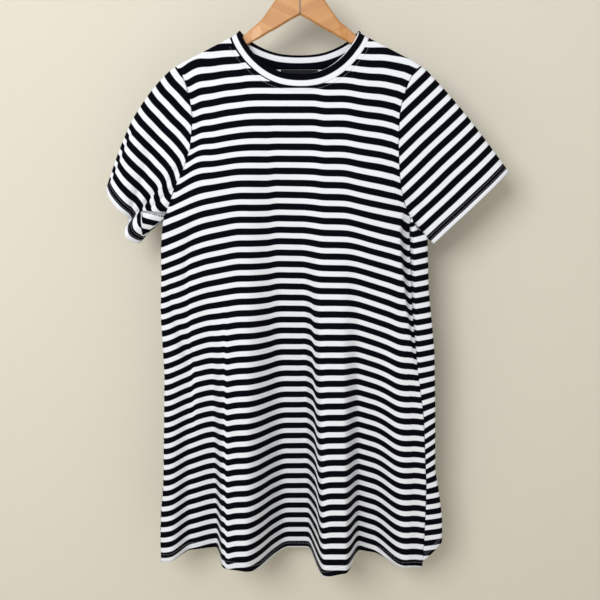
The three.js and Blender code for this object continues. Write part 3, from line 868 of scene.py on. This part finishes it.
def link_look(tree, shader, colour, rough=None, relief=None, **bump):
    """Feeds a shader its colour and, where they are given, its roughness and its relief."""
    feed(tree, shader.inputs["Base Color"], colour)
    if rough is not None:
        feed(tree, shader.inputs["Roughness"], rough)
    if relief is not None:
        node = add_node(tree, "ShaderNodeBump", Height=relief, **bump)
        feed(tree, shader.inputs["Normal"], node.outputs[0])


def cut_vector(tree):
    return add_node(tree, "ShaderNodeUVMap", uv_map="Cut").outputs["UV"]


def object_vector(tree):
    return tree.nodes.new("ShaderNodeTexCoord").outputs["Object"]


def stripe_group(name):
    """Yarn-dyed stripes across a piece, 1 on the dark ones, with edges a course of knit soft."""
    defaults = {"Cut": None, "Pitch": 0.019, "First dark": 0.088, "Dark share": 0.5, "Softness": 0.03}
    tree, given, result = group_tree(name, defaults, ["Dark"])
    split = add_node(tree, "ShaderNodeSeparateXYZ", Vector=given["Cut"])
    wander = add_node(tree, "ShaderNodeTexNoise", Vector=given["Cut"], Scale=40.0, Detail=2.0)
    drift = math_node(tree, "MULTIPLY_ADD", wander.outputs[0], 0.0006, -0.0003)
    level = math_node(tree, "ADD", split.outputs["Y"], drift)
    from_first = math_node(tree, "SUBTRACT", level, given["First dark"])
    count = math_node(tree, "DIVIDE", from_first, given["Pitch"])
    nearest = math_node(tree, "ROUND", count)
    off_centre = math_node(tree, "ABSOLUTE", math_node(tree, "SUBTRACT", count, nearest))
    half = math_node(tree, "MULTIPLY", given["Dark share"], 0.5)
    inside = math_node(tree, "SUBTRACT", half, given["Softness"])
    outside = math_node(tree, "ADD", half, given["Softness"])
    edge = add_node(tree, "ShaderNodeMapRange", interpolation_type="SMOOTHSTEP", Value=off_centre,
                    From_Min=inside, From_Max=outside, To_Min=1, To_Max=0)
    feed(tree, result["Dark"], edge.outputs[0])
    return tree


def knit_group(name):
    """Plain jersey loops: V-shaped stitches in upright wales."""
    defaults = {"Cut": None, "Wale": 0.0011, "Course": 0.0009}
    tree, given, result = group_tree(name, defaults, ["Height", "Shade"])
    split = add_node(tree, "ShaderNodeSeparateXYZ", Vector=given["Cut"])
    wale = math_node(tree, "DIVIDE", split.outputs["X"], given["Wale"])
    in_wale = math_node(tree, "PINGPONG", wale, 0.5)
    course = math_node(tree, "DIVIDE", split.outputs["Y"], given["Course"])
    slanted = math_node(tree, "MULTIPLY_ADD", in_wale, 1.1, course)
    loop = math_node(tree, "SINE", math_node(tree, "MULTIPLY", slanted, 2 * math.pi))
    rib = math_node(tree, "SINE", math_node(tree, "MULTIPLY", in_wale, 2 * math.pi))
    height = math_node(tree, "MULTIPLY_ADD", loop, 0.25, math_node(tree, "MULTIPLY", rib, 0.6))
    feed(tree, result["Height"], height)
    # Shade is painted shade of the loops, which darkens the yarn's colour.
    feed(tree, result["Shade"], math_node(tree, "MULTIPLY_ADD", height, 0.35, 0.6))
    return tree


def lint_group(name):
    """Broad cloudy wear and fine fibre, from 0 to 1."""
    defaults = {"Vector": None, "Broad scale": 18.0, "Fine scale": 900.0}
    tree, given, result = group_tree(name, defaults, ["Broad", "Fine"])
    for label in ("Broad", "Fine"):
        noise = add_node(tree, "ShaderNodeTexNoise", Vector=given["Vector"],
                         Scale=given[f"{label} scale"], Detail=3.0)
        feed(tree, result[label], noise.outputs[0])
    return tree


def grain_group(name):
    """Straight wood grain along the first axis of its vector, from 0 to 1."""
    tree, given, result = group_tree(name, {"Vector": None}, ["Grain", "Pores"])
    layers = (("Grain", (6, 60, 60), 4.0, 0.6), ("Pores", (30, 900, 900), 2.0, 0.0))
    for label, stretch, detail, bend in layers:
        turned = add_node(tree, "ShaderNodeMapping", Vector=given["Vector"], Scale=stretch)
        noise = add_node(tree, "ShaderNodeTexNoise", Vector=turned.outputs[0], Scale=1.0,
                         Detail=detail, Distortion=bend)
        feed(tree, result[label], noise.outputs[0])
    return tree


def jersey_material(name):
    """Navy and white striped cotton jersey."""
    sizes = bpy.context.scene.dress_sizes
    colours = bpy.context.scene.dress_colours
    material, tree, shader = new_material(name, Specular_IOR_Level=0.04)
    cut = cut_vector(tree)
    stripes = place_group(tree, "Yarn stripes", stripe_group, Cut=cut, Pitch=sizes.stripe_pitch,
                          First_dark=FIRST_DARK_LEVEL * MM, Dark_share=sizes.dark_share)
    knit = place_group(tree, "Jersey knit", knit_group, Cut=cut, Wale=sizes.knit_wale,
                       Course=sizes.knit_wale * 0.8)
    fibre = place_group(tree, "Cloudy fibre", lint_group, Vector=cut)
    yarn = mix_colour(tree, stripes["Dark"], colours.light_yarn, colours.dark_yarn)
    # Painted shade between the knit loops: the yarn is darkened towards the knit shade colour by the
    # loops' Shade. The same dark colour also takes the random cloudy wear below.
    between = math_node(tree, "MULTIPLY", knit["Shade"], 0.14)
    shaded = mix_colour(tree, between, yarn, colours.knit_shade_and_wear)
    worn = math_node(tree, "MULTIPLY", fibre["Broad"], 0.06)
    cloudy = mix_colour(tree, worn, shaded, colours.knit_shade_and_wear)
    rough = math_node(tree, "MULTIPLY_ADD", fibre["Fine"], 0.15, 0.78)
    relief = math_node(tree, "ADD", knit["Height"], math_node(tree, "MULTIPLY", fibre["Fine"], 0.5))
    link_look(tree, shader, cloudy, rough, relief, Strength=0.35, Distance=0.00025)
    return material


def thread_material(name):
    """Spun polyester sewing thread."""
    colour = bpy.context.scene.dress_colours.light_thread
    material, tree, shader = new_material(name, Sheen_Weight=0.2)
    twist = add_node(tree, "ShaderNodeTexWave", bands_direction="DIAGONAL", Scale=1500.0,
                     Distortion=1.5, Vector=object_vector(tree)).outputs["Fac"]
    link_look(tree, shader, mix_colour(tree, twist, shade(colour, 0.6), colour),
              math_node(tree, "MULTIPLY_ADD", twist, 0.2, 0.5))
    return material


def label_material():
    """Dark satin-woven tape with nothing on it."""
    tape = bpy.context.scene.dress_colours.label_tape
    material, tree, shader = new_material("Label tape", Specular_IOR_Level=0.15)
    cut = cut_vector(tree)
    split = add_node(tree, "ShaderNodeSeparateXYZ", Vector=cut)
    warp = math_node(tree, "SINE", math_node(tree, "MULTIPLY", split.outputs["X"], 9000.0))
    weft = math_node(tree, "SINE", math_node(tree, "MULTIPLY", split.outputs["Y"], 14000.0))
    weave = math_node(tree, "MULTIPLY", warp, weft)
    fine = place_group(tree, "Cloudy fibre", lint_group, Vector=cut, Fine_scale=1500.0)["Fine"]
    share = math_node(tree, "MULTIPLY_ADD", weave, 0.2, math_node(tree, "MULTIPLY", fine, 0.6))
    lighter = [channel * 2.2 + 0.001 for channel in tape]
    rough = math_node(tree, "MULTIPLY_ADD", fine, 0.2, 0.45)
    link_look(tree, shader, mix_colour(tree, share, tape, lighter), rough, weave,
              Strength=0.3, Distance=0.0001)
    return material


def wood_material(name, slope, offset):
    """Lacquered beech, with its grain along one arm."""
    colours = bpy.context.scene.dress_colours
    material, tree, shader = new_material(name, Coat_Weight=0.25, Coat_Roughness=0.3)
    place = object_vector(tree)
    turn = add_node(tree, "ShaderNodeMapping", Location=(offset, offset, 0),
                    Rotation=(0, slope, 0), Vector=place)
    grain = place_group(tree, "Wood grain", grain_group, Vector=turn.outputs[0])
    bands = add_node(tree, "ShaderNodeMapRange", interpolation_type="SMOOTHSTEP",
                     From_Min=0.35, From_Max=0.65, Value=grain["Grain"])
    wood = mix_colour(tree, bands.outputs[0], colours.wood_light, colours.wood_dark)
    pores = math_node(tree, "GREATER_THAN", grain["Pores"], 0.62)
    speckled = mix_colour(tree, math_node(tree, "MULTIPLY", pores, 0.22), wood,
                          shade(colours.wood_dark, 0.45))
    parts = add_node(tree, "ShaderNodeSeparateXYZ", Vector=place)
    from_middle = math_node(tree, "ABSOLUTE", parts.outputs["X"])
    glue_line = math_node(tree, "LESS_THAN", from_middle, GLUE_LINE_REACH * MM)
    joined = mix_colour(tree, glue_line, speckled, shade(colours.wood_dark, 0.3))
    rough = math_node(tree, "MULTIPLY_ADD", grain["Grain"], 0.25, 0.33)
    link_look(tree, shader, joined, rough, grain["Pores"], Strength=0.2, Distance=0.0002)
    return material


def steel_material():
    """Nickel-plated wire, finely drawn along its length."""
    steel = bpy.context.scene.dress_colours.hook_steel
    material, tree, shader = new_material("Hook steel", Metallic=1.0)
    fibre = place_group(tree, "Cloudy fibre", lint_group, Vector=object_vector(tree),
                        Broad_scale=60.0, Fine_scale=1800.0)
    link_look(tree, shader, mix_colour(tree, fibre["Broad"], steel, shade(steel, 0.72)),
              math_node(tree, "MULTIPLY_ADD", fibre["Fine"], 0.2, 0.16))
    return material


def plaster_material(name, colour):
    """Pale matt paint that is only seen from its front."""
    material, tree, shader = new_material(name, Roughness=0.95)
    noise = add_node(tree, "ShaderNodeTexNoise", Scale=3.0, Detail=3.0, Vector=object_vector(tree))
    link_look(tree, shader, mix_colour(tree, noise.outputs[0], shade(colour, 0.97), colour))
    clear = tree.nodes.new("ShaderNodeBsdfTransparent")
    facing = tree.nodes.new("ShaderNodeNewGeometry")
    choose = tree.nodes.new("ShaderNodeMixShader")
    sources = (facing.outputs["Backfacing"], shader.outputs[0], clear.outputs[0])
    for socket, source in zip(choose.inputs, sources):
        feed(tree, socket, source)
    feed(tree, tree.nodes["Material Output"].inputs["Surface"], choose.outputs[0])
    return material


def length_property(label, words, default, least, most, precision=4):
    return FloatProperty(name=label, description=words, default=default, min=least, max=most,
                         unit="LENGTH", precision=precision)


class DressSizes(bpy.types.PropertyGroup):
    stripe_pitch: length_property(
        "Stripe repeat", "One dark and one light stripe together", 0.019, 0.004, 0.08)
    dark_share: FloatProperty(
        name="Dark share", description="Part of the repeat that is dark",
        default=0.56, min=0.1, max=0.9, subtype="FACTOR")
    cloth_thickness: length_property(
        "Cloth thickness", "Thickness of the jersey", 0.0014, 0.0004, 0.003)
    knit_wale: length_property(
        "Knit wale", "Width of one upright row of knitted loops", 0.0011, 0.0004, 0.003)
    stitch_pitch: length_property(
        "Stitch pitch", "Distance from one stitch to the next", 0.003, 0.0015, 0.006)
    thread_radius: length_property(
        "Thread radius", "Half the thickness of the sewing thread", 0.00028, 0.0001, 0.0006, 5)
    backdrop_gap: length_property(
        "Backdrop gap", "From the middle of the hanger to the wall behind it", 0.1, 0.05, 1.0)


def colour_property(label, words, default):
    return FloatVectorProperty(name=label, description=words, default=default, subtype="COLOR",
                               size=3, min=0, max=1)


class DressColours(bpy.types.PropertyGroup):
    light_yarn: colour_property("Light yarn", "White of the stripes", (0.85, 0.885, 0.945))
    dark_yarn: colour_property("Dark yarn", "Navy of the stripes", (0.0012, 0.0014, 0.004))
    # Painted shade between the knit loops, also the colour of the random cloudy wear.
    knit_shade_and_wear: colour_property("Knit shadow", "Between the loops", (0.003, 0.0033, 0.006))
    light_thread: colour_property("Light thread", "Hem and cuff stitching", (0.4, 0.4, 0.45))
    label_tape: colour_property("Label tape", "Neck label", (0.002, 0.0022, 0.0035))
    wood_light: colour_property("Light wood", "Hanger, pale grain", (0.55, 0.27, 0.088))
    wood_dark: colour_property("Dark wood", "Hanger, dark grain", (0.45, 0.2, 0.058))
    hook_steel: colour_property("Hook steel", "Plated wire", (0.72, 0.71, 0.69))
    backdrop: colour_property("Backdrop", "Wall behind the dress", (0.66, 0.625, 0.54))


PANELS = {}


def panel_points():
    """Both panels, worked out once and shared by the pieces that are sewn to them."""
    if not PANELS:
        for side in ("front", "back"):
            PANELS[side] = Panel(side)
    return PANELS["front"], PANELS["back"]


def jersey_piece(name, node, points, across, stripes, layers=1, **options):
    """A striped cloth piece that stands in for one of the part's nodes."""
    thickness = bpy.context.scene.dress_sizes.cloth_thickness * layers
    piece = cloth_mesh(name, points, across, stripes, thickness, **options)
    jersey = shared(bpy.data.materials, "Striped jersey", jersey_material)
    return finish_piece(piece, jersey, node)


def stitches_on(name, line, normals):
    """A row of stitches in light thread."""
    sizes = bpy.context.scene.dress_sizes
    lift = sizes.cloth_thickness / 2 / MM + STITCH_LIFT
    pitch = sizes.stitch_pitch / MM
    piece = stitch_piece(name, line, normals, pitch, pitch * STITCH_SHARE,
                         sizes.thread_radius / MM, lift)
    thread = shared(bpy.data.materials, "Light thread", thread_material)
    return finish_piece(piece, thread)


def coverstitch(name, points, normals, heights, rows, closed=False):
    """Rows of stitches, each at its height above the lower edge of a piece of cloth."""
    columns_round = list(range(points.shape[1])) + [0] * closed
    pieces = []
    for number, above in enumerate(rows, start=1):
        line, out = (
            np.array([place_along(above, heights[::-1, col], values[::-1, col])
                      for col in columns_round])
            for values in (points, normals))
        pieces.append(stitches_on(f"{name}_stitch_{number}", line, unit(out)))
    return pieces


class DRESS_OT_panels(bpy.types.Operator):
    """Make the front and the back, each cut in one, with their hem stitching"""

    bl_idname = "dress.panels"
    bl_label = "Front and back"

    def execute(self, context):
        for panel in panel_points():
            side = panel.side
            piece = jersey_piece(f"{side}_cloth", f"{side}_panel", panel.points, panel.across,
                                 panel.stripes, flip=side == "back")
            rows = coverstitch(f"{side}_hem", panel.points, panel.normals(),
                               panel.level[-1] - panel.level, HEM_STITCHES)
        return {"FINISHED"}


def line_beside_neck(panel, distance):
    """Points and normals on a panel at a distance outside its neck seam."""
    first, last = panel.neck
    skipped = COLUMN_PARTS * 2
    seam = panel.points[0, first + skipped:last + 1 - skipped]
    height = neck_height(seam[:, 0], panel.side)
    outward = unit(np.stack([np.gradient(height), -np.gradient(seam[:, 0])], axis=-1))
    near_neck = slice(0, ROW_PARTS * 6)
    cloth = panel.points[near_neck].reshape(-1, 3)
    normals = panel.normals()[near_neck].reshape(-1, 3)
    line = []
    out = []
    for place in seam[:, (0, 2)] + outward * distance:
        off = place - cloth[:, (0, 2)]
        nearest = np.argmin((off ** 2).sum(axis=1))
        normal = normals[nearest]
        y = cloth[nearest, 1] - off[nearest] @ normal[[0, 2]] / normal[1]
        line.append((place[0], y, place[1]))
        out.append(normal)
    return np.array(line), np.array(out)


def catmull_rom(points):
    """A closed smooth curve through the points, at even steps along it."""
    points = np.array(points, float)
    n = len(points)
    fine = []
    for i in range(n):
        p = [points[(i + k) % n] for k in (-1, 0, 1, 2)]
        gaps = [math.sqrt(np.linalg.norm(p[k + 1] - p[k])) for k in range(3)]
        start = (p[1] - p[0]) / gaps[0] - (p[2] - p[0]) / (gaps[0] + gaps[1]) + (p[2] - p[1]) / gaps[1]
        stop = (p[2] - p[1]) / gaps[1] - (p[3] - p[1]) / (gaps[1] + gaps[2]) + (p[3] - p[2]) / gaps[2]
        start = start * gaps[1]
        stop = stop * gaps[1]
        for t in np.linspace(0, 1, CUFF_STEPS, endpoint=False):
            fine.append((2 * t**3 - 3 * t**2 + 1) * p[1] + (t**3 - 2 * t**2 + t) * start
                        + (3 * t**2 - 2 * t**3) * p[2] + (t**3 - t**2) * stop)
    fine.append(points[0])
    fine = np.array(fine)
    run = run_along(fine)
    return fine, run / run[-1], run[-1]


def armhole_loop(way, front, back):
    """The panels' edge points round an armhole: down the front from the tip, up the back."""
    edge = 0 if way < 0 else -1
    inner = 1 if way < 0 else -2
    rows = slice(0, front.underarm_row + 1)
    halves = []
    for panel in (front, back):
        rim = panel.points[rows, edge]
        outward = unit(rim - panel.points[rows, inner])
        run = run_along(rim)
        halves.append((rim, outward, 0.5 * run / run[-1]))
    (rim_f, out_f, share_f), (rim_b, out_b, share_b) = halves
    rim = np.concatenate([rim_f, rim_b[1:-1][::-1]])
    outward = np.concatenate([out_f, out_b[1:-1][::-1]])
    share = np.concatenate([share_f, 1 - share_b[1:-1][::-1]])
    return rim, outward, share


def sleeve_frame(spec):
    outer = np.array([spec["outer"][0], 0, spec["outer"][1]], float)
    inner = np.array([spec["inner"][0], 0, spec["inner"][1]], float)
    across = unit(inner - outer)
    past = np.array([-across[2] * spec["way"], 0, across[0] * spec["way"]])
    return outer, across, past


def sleeve_points(name, front, back):
    """Rows from the armhole to the cuff, with the height of each point above the cuff's edge."""
    spec = SLEEVES[name]
    outer, across, past = sleeve_frame(spec)
    table = CUFFS[name]
    knots = [outer + across * a + past * l + np.array([0, d, 0])
             for a, d, l in zip(table["across"], table["depth"], table["along"])]
    curve, curve_share, cuff_length = catmull_rom(knots)
    rim, outward, share = armhole_loop(spec["way"], front, back)
    ends = place_along(share, curve_share, curve)
    start = rim + outward * SLEEVE_GAP
    top_side = np.maximum(0, np.cos(2 * math.pi * share)) ** 2
    rows = []
    heights = []
    cap = cap_height(share, front, back)
    for t in np.linspace(0, 1, SLEEVE_ROWS):
        bulge = spec["bulge"] * top_side * math.sin(math.pi * t ** 0.8)
        place = lerp(start, ends, t)
        place[:, 0] += spec["way"] * bulge * 0.9
        place[:, 2] += bulge * 0.4
        rows.append(place)
        heights.append(cap * (1 - t))
    points = np.array(rows)
    heights = np.array(heights)
    round_cuff = share * cuff_length
    relief = crease_relief(np.tile(round_cuff, (SLEEVE_ROWS, 1)), heights, SLEEVE_CREASES[name])
    if name == "left":
        relief -= CORNER_FOLD["depth"] * corner_fold(points, share)[1]
    normals = -spec["way"] * grid_normals(points, closed=True)
    return points + normals * relief[..., None], heights, round_cuff


def corner_fold(points, share):
    """How far each point is inside the corner folded under, and how near its fold edge."""
    x = points[..., 0]
    beside = smooth((x - CORNER_FOLD["edge_x"]) / CORNER_FOLD["soft_x"]) * (share < 0.5)
    edge = CORNER_FOLD["edge_z"] - CORNER_FOLD["edge_fall"] * (x - CORNER_FOLD["edge_x"])
    below = (edge - points[..., 2]) / CORNER_FOLD["soft_z"]
    return beside * smooth(below), beside * np.exp(-(below ** 2))


def left_sleeve_stripes(level, points, height, round_cuff):
    """The stripes of the left sleeve, shifted on its outer fold and turned in its corner."""
    fold = OUTER_FOLD
    behind = (round_cuff.max() - round_cuff) * fold["back_share"]
    from_edge = np.minimum(round_cuff, behind)
    upright = smooth((height - fold["from"]) / fold["fade_in"])
    upright = upright * smooth((fold["to"] - height) / fold["fade_out"])
    level = level + fold["shift"] * upright * smooth((fold["width"] - from_edge) / fold["soft"])
    corner = CORNER_FOLD
    turned = FIRST_DARK_LEVEL + corner["per_z"] * (corner["z"] - points[..., 2])
    turned = turned - corner["stripe_fall"] * (points[..., 0] - corner["x"])
    return lerp(level, turned, corner_fold(points, round_cuff / round_cuff.max())[0])


def cap_height(share, front, back):
    """Height of the sleeve's cut above its cuff at each share of the way round the armhole."""
    rim, _, rim_share = armhole_loop(1, front, back)
    outer, _, past = sleeve_frame(SLEEVES["right"])
    height = (outer - rim) @ past
    order = np.argsort(rim_share)
    return np.interp(share, rim_share[order], height[order])


class DRESS_OT_sleeves(bpy.types.Operator):
    """Make the two set-in sleeves, with their cuff stitching"""

    bl_idname = "dress.sleeves"
    bl_label = "Sleeves"

    def execute(self, context):
        front, back = panel_points()
        for name, spec in SLEEVES.items():
            points, height, round_cuff = sleeve_points(name, front, back)
            level = FIRST_DARK_LEVEL - LAST_CUFF_STRIPE + height
            if name == "left":
                level = left_sleeve_stripes(level, points, height, round_cuff)
            across = np.tile(round_cuff, (SLEEVE_ROWS, 1))
            level = np.concatenate([level, level[:, :1]], axis=1)
            across = np.concatenate([across, across[:, :1] + across.max() * CUFF_CLOSING], axis=1)
            piece = jersey_piece(f"sleeve_{name}_cloth", f"sleeve_{name}", points, across, level,
                                 closed=True, flip=spec["way"] > 0)
            normals = -spec["way"] * grid_normals(points, closed=True)
            rows = coverstitch(f"sleeve_{name}", points, normals, height, CUFF_STITCHES, closed=True)
        return {"FINISHED"}


def band_y(x, z, side):
    level = -SHOULDER_BELOW_HOOK - z
    below = np.maximum(0, level - shoulder_line(x))
    depth = tube_depth(x, below, np.maximum(level, TIP_LEVEL), side)
    return -depth if side == "front" else depth


def band_points(front, back):
    """Rows of the neckband from its folded edge out to the seam, all round the neck."""
    first, last = front.neck
    seam = [(front.smooth_points[0, i], "front") for i in range(last, first, -1)]
    seam += [(back.smooth_points[0, i], "back") for i in range(first, last)]
    count = len(seam)
    grid = []
    for i, (point, side) in enumerate(seam):
        ahead = seam[(i + 1) % count]
        behind = seam[i - 1]
        reach = min(1, abs(point[0] - CENTRE_X) / NECK_HALF_WIDTH)
        rise = neck_height(ahead[0][0], ahead[1]) - neck_height(behind[0][0], behind[1])
        inward = np.array([-rise, ahead[0][0] - behind[0][0]])
        if reach > HIGH_SHOULDER:
            inward = np.array([-math.copysign(1, point[0]), 0])
        inward = unit(inward)
        if inward[1] < 0:
            inward = -inward
        inward[1] = math.hypot(inward[1], SHOULDER_SLOPE * reach ** 3)
        inward = unit(inward)
        column = []
        for out in np.append(np.linspace(BAND_WIDTH, BAND_GAP, BAND_ROWS - 1), -BAND_TUCK):
            x = point[0] + inward[0] * out
            z = point[2] + inward[1] * out
            y = 0 if reach > HIGH_SHOULDER else band_y(x, z, side)
            column.append((x, y, z))
        grid.append(column)
    grid = np.array(grid).transpose(1, 0, 2)
    grid[-1] += grid_normals(grid, closed=True)[-2] * BAND_TUCK_DEPTH
    return grid


class DRESS_OT_neckband(bpy.types.Operator):
    """Make the folded neckband and the topstitching beside its seam"""

    bl_idname = "dress.neckband"
    bl_label = "Neckband"

    def execute(self, context):
        front, back = panel_points()
        points = band_points(front, back)
        steps = np.linalg.norm(points[-2] - np.roll(points[-2], 1, axis=0), axis=1)
        round_neck = np.append(np.cumsum(steps) - steps[0], steps.sum())
        out = np.append(np.linspace(0, BAND_WIDTH, BAND_ROWS - 1), BAND_WIDTH + BAND_TUCK)
        centre = np.interp(round_neck / round_neck[-1], BAND_DRIFT["share"], BAND_DRIFT["centre"])
        level = FIRST_DARK_LEVEL + out[:, None] - centre[None, :]
        across = np.tile(round_neck, (BAND_ROWS, 1))
        piece = jersey_piece("neckband_cloth", "neckband", points, across, level, BAND_LAYERS,
                             closed=True, flip=True)
        rows = [stitches_on(f"{panel.side}_neck_stitch", *line_beside_neck(panel, NECK_STITCH_OUT))
                for panel in (front, back)]
        return {"FINISHED"}


class DRESS_OT_neck_label(bpy.types.Operator):
    """Make the blank woven label inside the back neck"""

    bl_idname = "dress.neck_label"
    bl_label = "Neck label"

    def execute(self, context):
        across = np.linspace(-LABEL_HALF_WIDTH, LABEL_HALF_WIDTH, LABEL_COLUMNS + 1)
        down = np.linspace(0, LABEL_HEIGHT, LABEL_ROWS + 1)
        x, level = np.meshgrid(CENTRE_X + across, LABEL_TOP + down)
        fullness = LABEL_FULLNESS * np.sin(math.pi * (level - LABEL_TOP) / LABEL_HEIGHT)
        y = upper_y(x, level, "back") + back_neck_fold(x, level) - LABEL_STANDOFF - fullness
        points = np.stack([x, y, -SHOULDER_BELOW_HOOK - level], axis=-1)
        piece = cloth_mesh("neck_label_tape", points, x, level, TAPE_THICKNESS)
        finish_piece(piece, label_material(), "neck_label")
        return {"FINISHED"}


def back_neck_fold(x, level):
    rows = [fold_offset(x[j], level[j, 0], FOLD_LINES["back"]) for j in range(len(x))]
    return np.array(rows)


def dress_node(name, material):
    """Gives a node of the part its own look."""
    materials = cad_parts[name].data.materials
    materials.clear()
    materials.append(material)


class DRESS_OT_hanger(bpy.types.Operator):
    """Give the two arms of the hanger their beech wood look"""

    bl_idname = "dress.hanger"
    bl_label = "Wooden hanger"

    def execute(self, context):
        for name, slope, offset in (("left", -0.42, 0.0), ("right", 0.42, 0.37)):
            dress_node(f"hanger_arm_{name}", wood_material(f"Beech {name}", slope, offset))
        return {"FINISHED"}


class DRESS_OT_hook(bpy.types.Operator):
    """Give the wire hook its plated steel look"""

    bl_idname = "dress.hook"
    bl_label = "Hook"

    def execute(self, context):
        dress_node("hanger_hook", steel_material())
        return {"FINISHED"}


# The stage is in metres.
CAMERA_PLACE = (0, -1.444, -0.27758)
CAMERA_TILT = 0.2
CAMERA_LENS = 54.24
CAMERA_SENSOR = 36
PLANE_REACH = 3.0
BACKDROP_HEIGHT = -0.6
FLOOR_PLACE = (0, -1.2, -1.35)
# Name, place, width and power of each light. Both point at the middle of the dress.
LIGHTS = (("Window", (-0.9, -2.2, 0.5), 1.2, 40), ("Lamp", (-0.3, -2.1, 0.4), 0.4, 4))
LIGHT_TARGET = (0, 0, -0.5)
ROOM_COLOUR = (1.0, 0.985, 0.96, 1)
ROOM_LIGHT = 0.62


class DRESS_OT_stage(bpy.types.Operator):
    """Set the camera, the soft light, the wall and the floor"""

    bl_idname = "dress.stage"
    bl_label = "Stage"

    def execute(self, context):
        data = bpy.data.cameras.new("Camera")
        data.lens = CAMERA_LENS
        data.sensor_width = CAMERA_SENSOR
        camera = bpy.data.objects.new("Camera", data)
        camera.location = CAMERA_PLACE
        camera.rotation_euler = (math.pi / 2 - CAMERA_TILT, 0, 0)
        context.scene.collection.objects.link(camera)
        context.scene.camera = camera
        wall_place = (0, context.scene.dress_sizes.backdrop_gap, BACKDROP_HEIGHT)
        self.flat_plane("backdrop", wall_place, math.pi / 2, "Wall paint")
        self.flat_plane("floor", FLOOR_PLACE, 0, "Floor paint")
        for name, place, size, power in LIGHTS:
            self.area_light(name, place, size, power)
        self.room_light()
        context.scene.view_settings.view_transform = "Standard"
        return {"FINISHED"}

    def flat_plane(self, name, place, tilt, paint):
        bm = bmesh.new()
        bmesh.ops.create_grid(bm, x_segments=8, y_segments=8, size=PLANE_REACH)
        spin = Matrix.Translation(place) @ Matrix.Rotation(tilt, 4, "X")
        bmesh.ops.transform(bm, matrix=spin, verts=bm.verts)
        piece = new_piece(name, bm)
        colour = bpy.context.scene.dress_colours.backdrop
        piece.data.materials.append(plaster_material(paint, colour))

    def area_light(self, name, place, size, power):
        data = bpy.data.lights.new(name, "AREA")
        data.shape = "DISK"
        data.size = size
        data.energy = power
        light = bpy.data.objects.new(name, data)
        light.location = place
        way = Vector(LIGHT_TARGET) - Vector(place)
        light.rotation_euler = way.to_track_quat("-Z", "Y").to_euler()
        bpy.context.scene.collection.objects.link(light)

    def room_light(self):
        world = bpy.data.worlds.new("Soft room")
        world.use_nodes = True
        light = world.node_tree.nodes["Background"]
        light.inputs["Color"].default_value = ROOM_COLOUR
        light.inputs["Strength"].default_value = ROOM_LIGHT
        bpy.context.scene.world = world


class DRESS_PT_pieces(bpy.types.Panel):
    bl_label = "Dress"
    bl_idname = "DRESS_PT_pieces"
    bl_space_type = "VIEW_3D"
    bl_region_type = "UI"
    bl_category = "Dress"

    def draw(self, context):
        layout = self.layout
        for operator in OPERATORS:
            layout.operator(operator.bl_idname)
        for group in (context.scene.dress_sizes, context.scene.dress_colours):
            for name in group.__annotations__:
                layout.prop(group, name)


OPERATORS = (
    DRESS_OT_stage,
    DRESS_OT_panels,
    DRESS_OT_sleeves,
    DRESS_OT_neckband,
    DRESS_OT_neck_label,
    DRESS_OT_hanger,
    DRESS_OT_hook,
)
CLASSES = (DressSizes, DressColours, *OPERATORS, DRESS_PT_pieces)


def register():
    for cls in CLASSES:
        bpy.utils.register_class(cls)
    bpy.types.Scene.dress_sizes = PointerProperty(type=DressSizes)
    bpy.types.Scene.dress_colours = PointerProperty(type=DressColours)


def unregister():
    del bpy.types.Scene.dress_colours
    del bpy.types.Scene.dress_sizes
    for cls in reversed(CLASSES):
        bpy.utils.unregister_class(cls)


def main():
    register()
    bpy.ops.dress.stage()
    bpy.ops.dress.panels()
    bpy.ops.dress.sleeves()
    bpy.ops.dress.neckband()
    bpy.ops.dress.neck_label()
    bpy.ops.dress.hanger()
    bpy.ops.dress.hook()


if __name__ == "__main__":
    main()
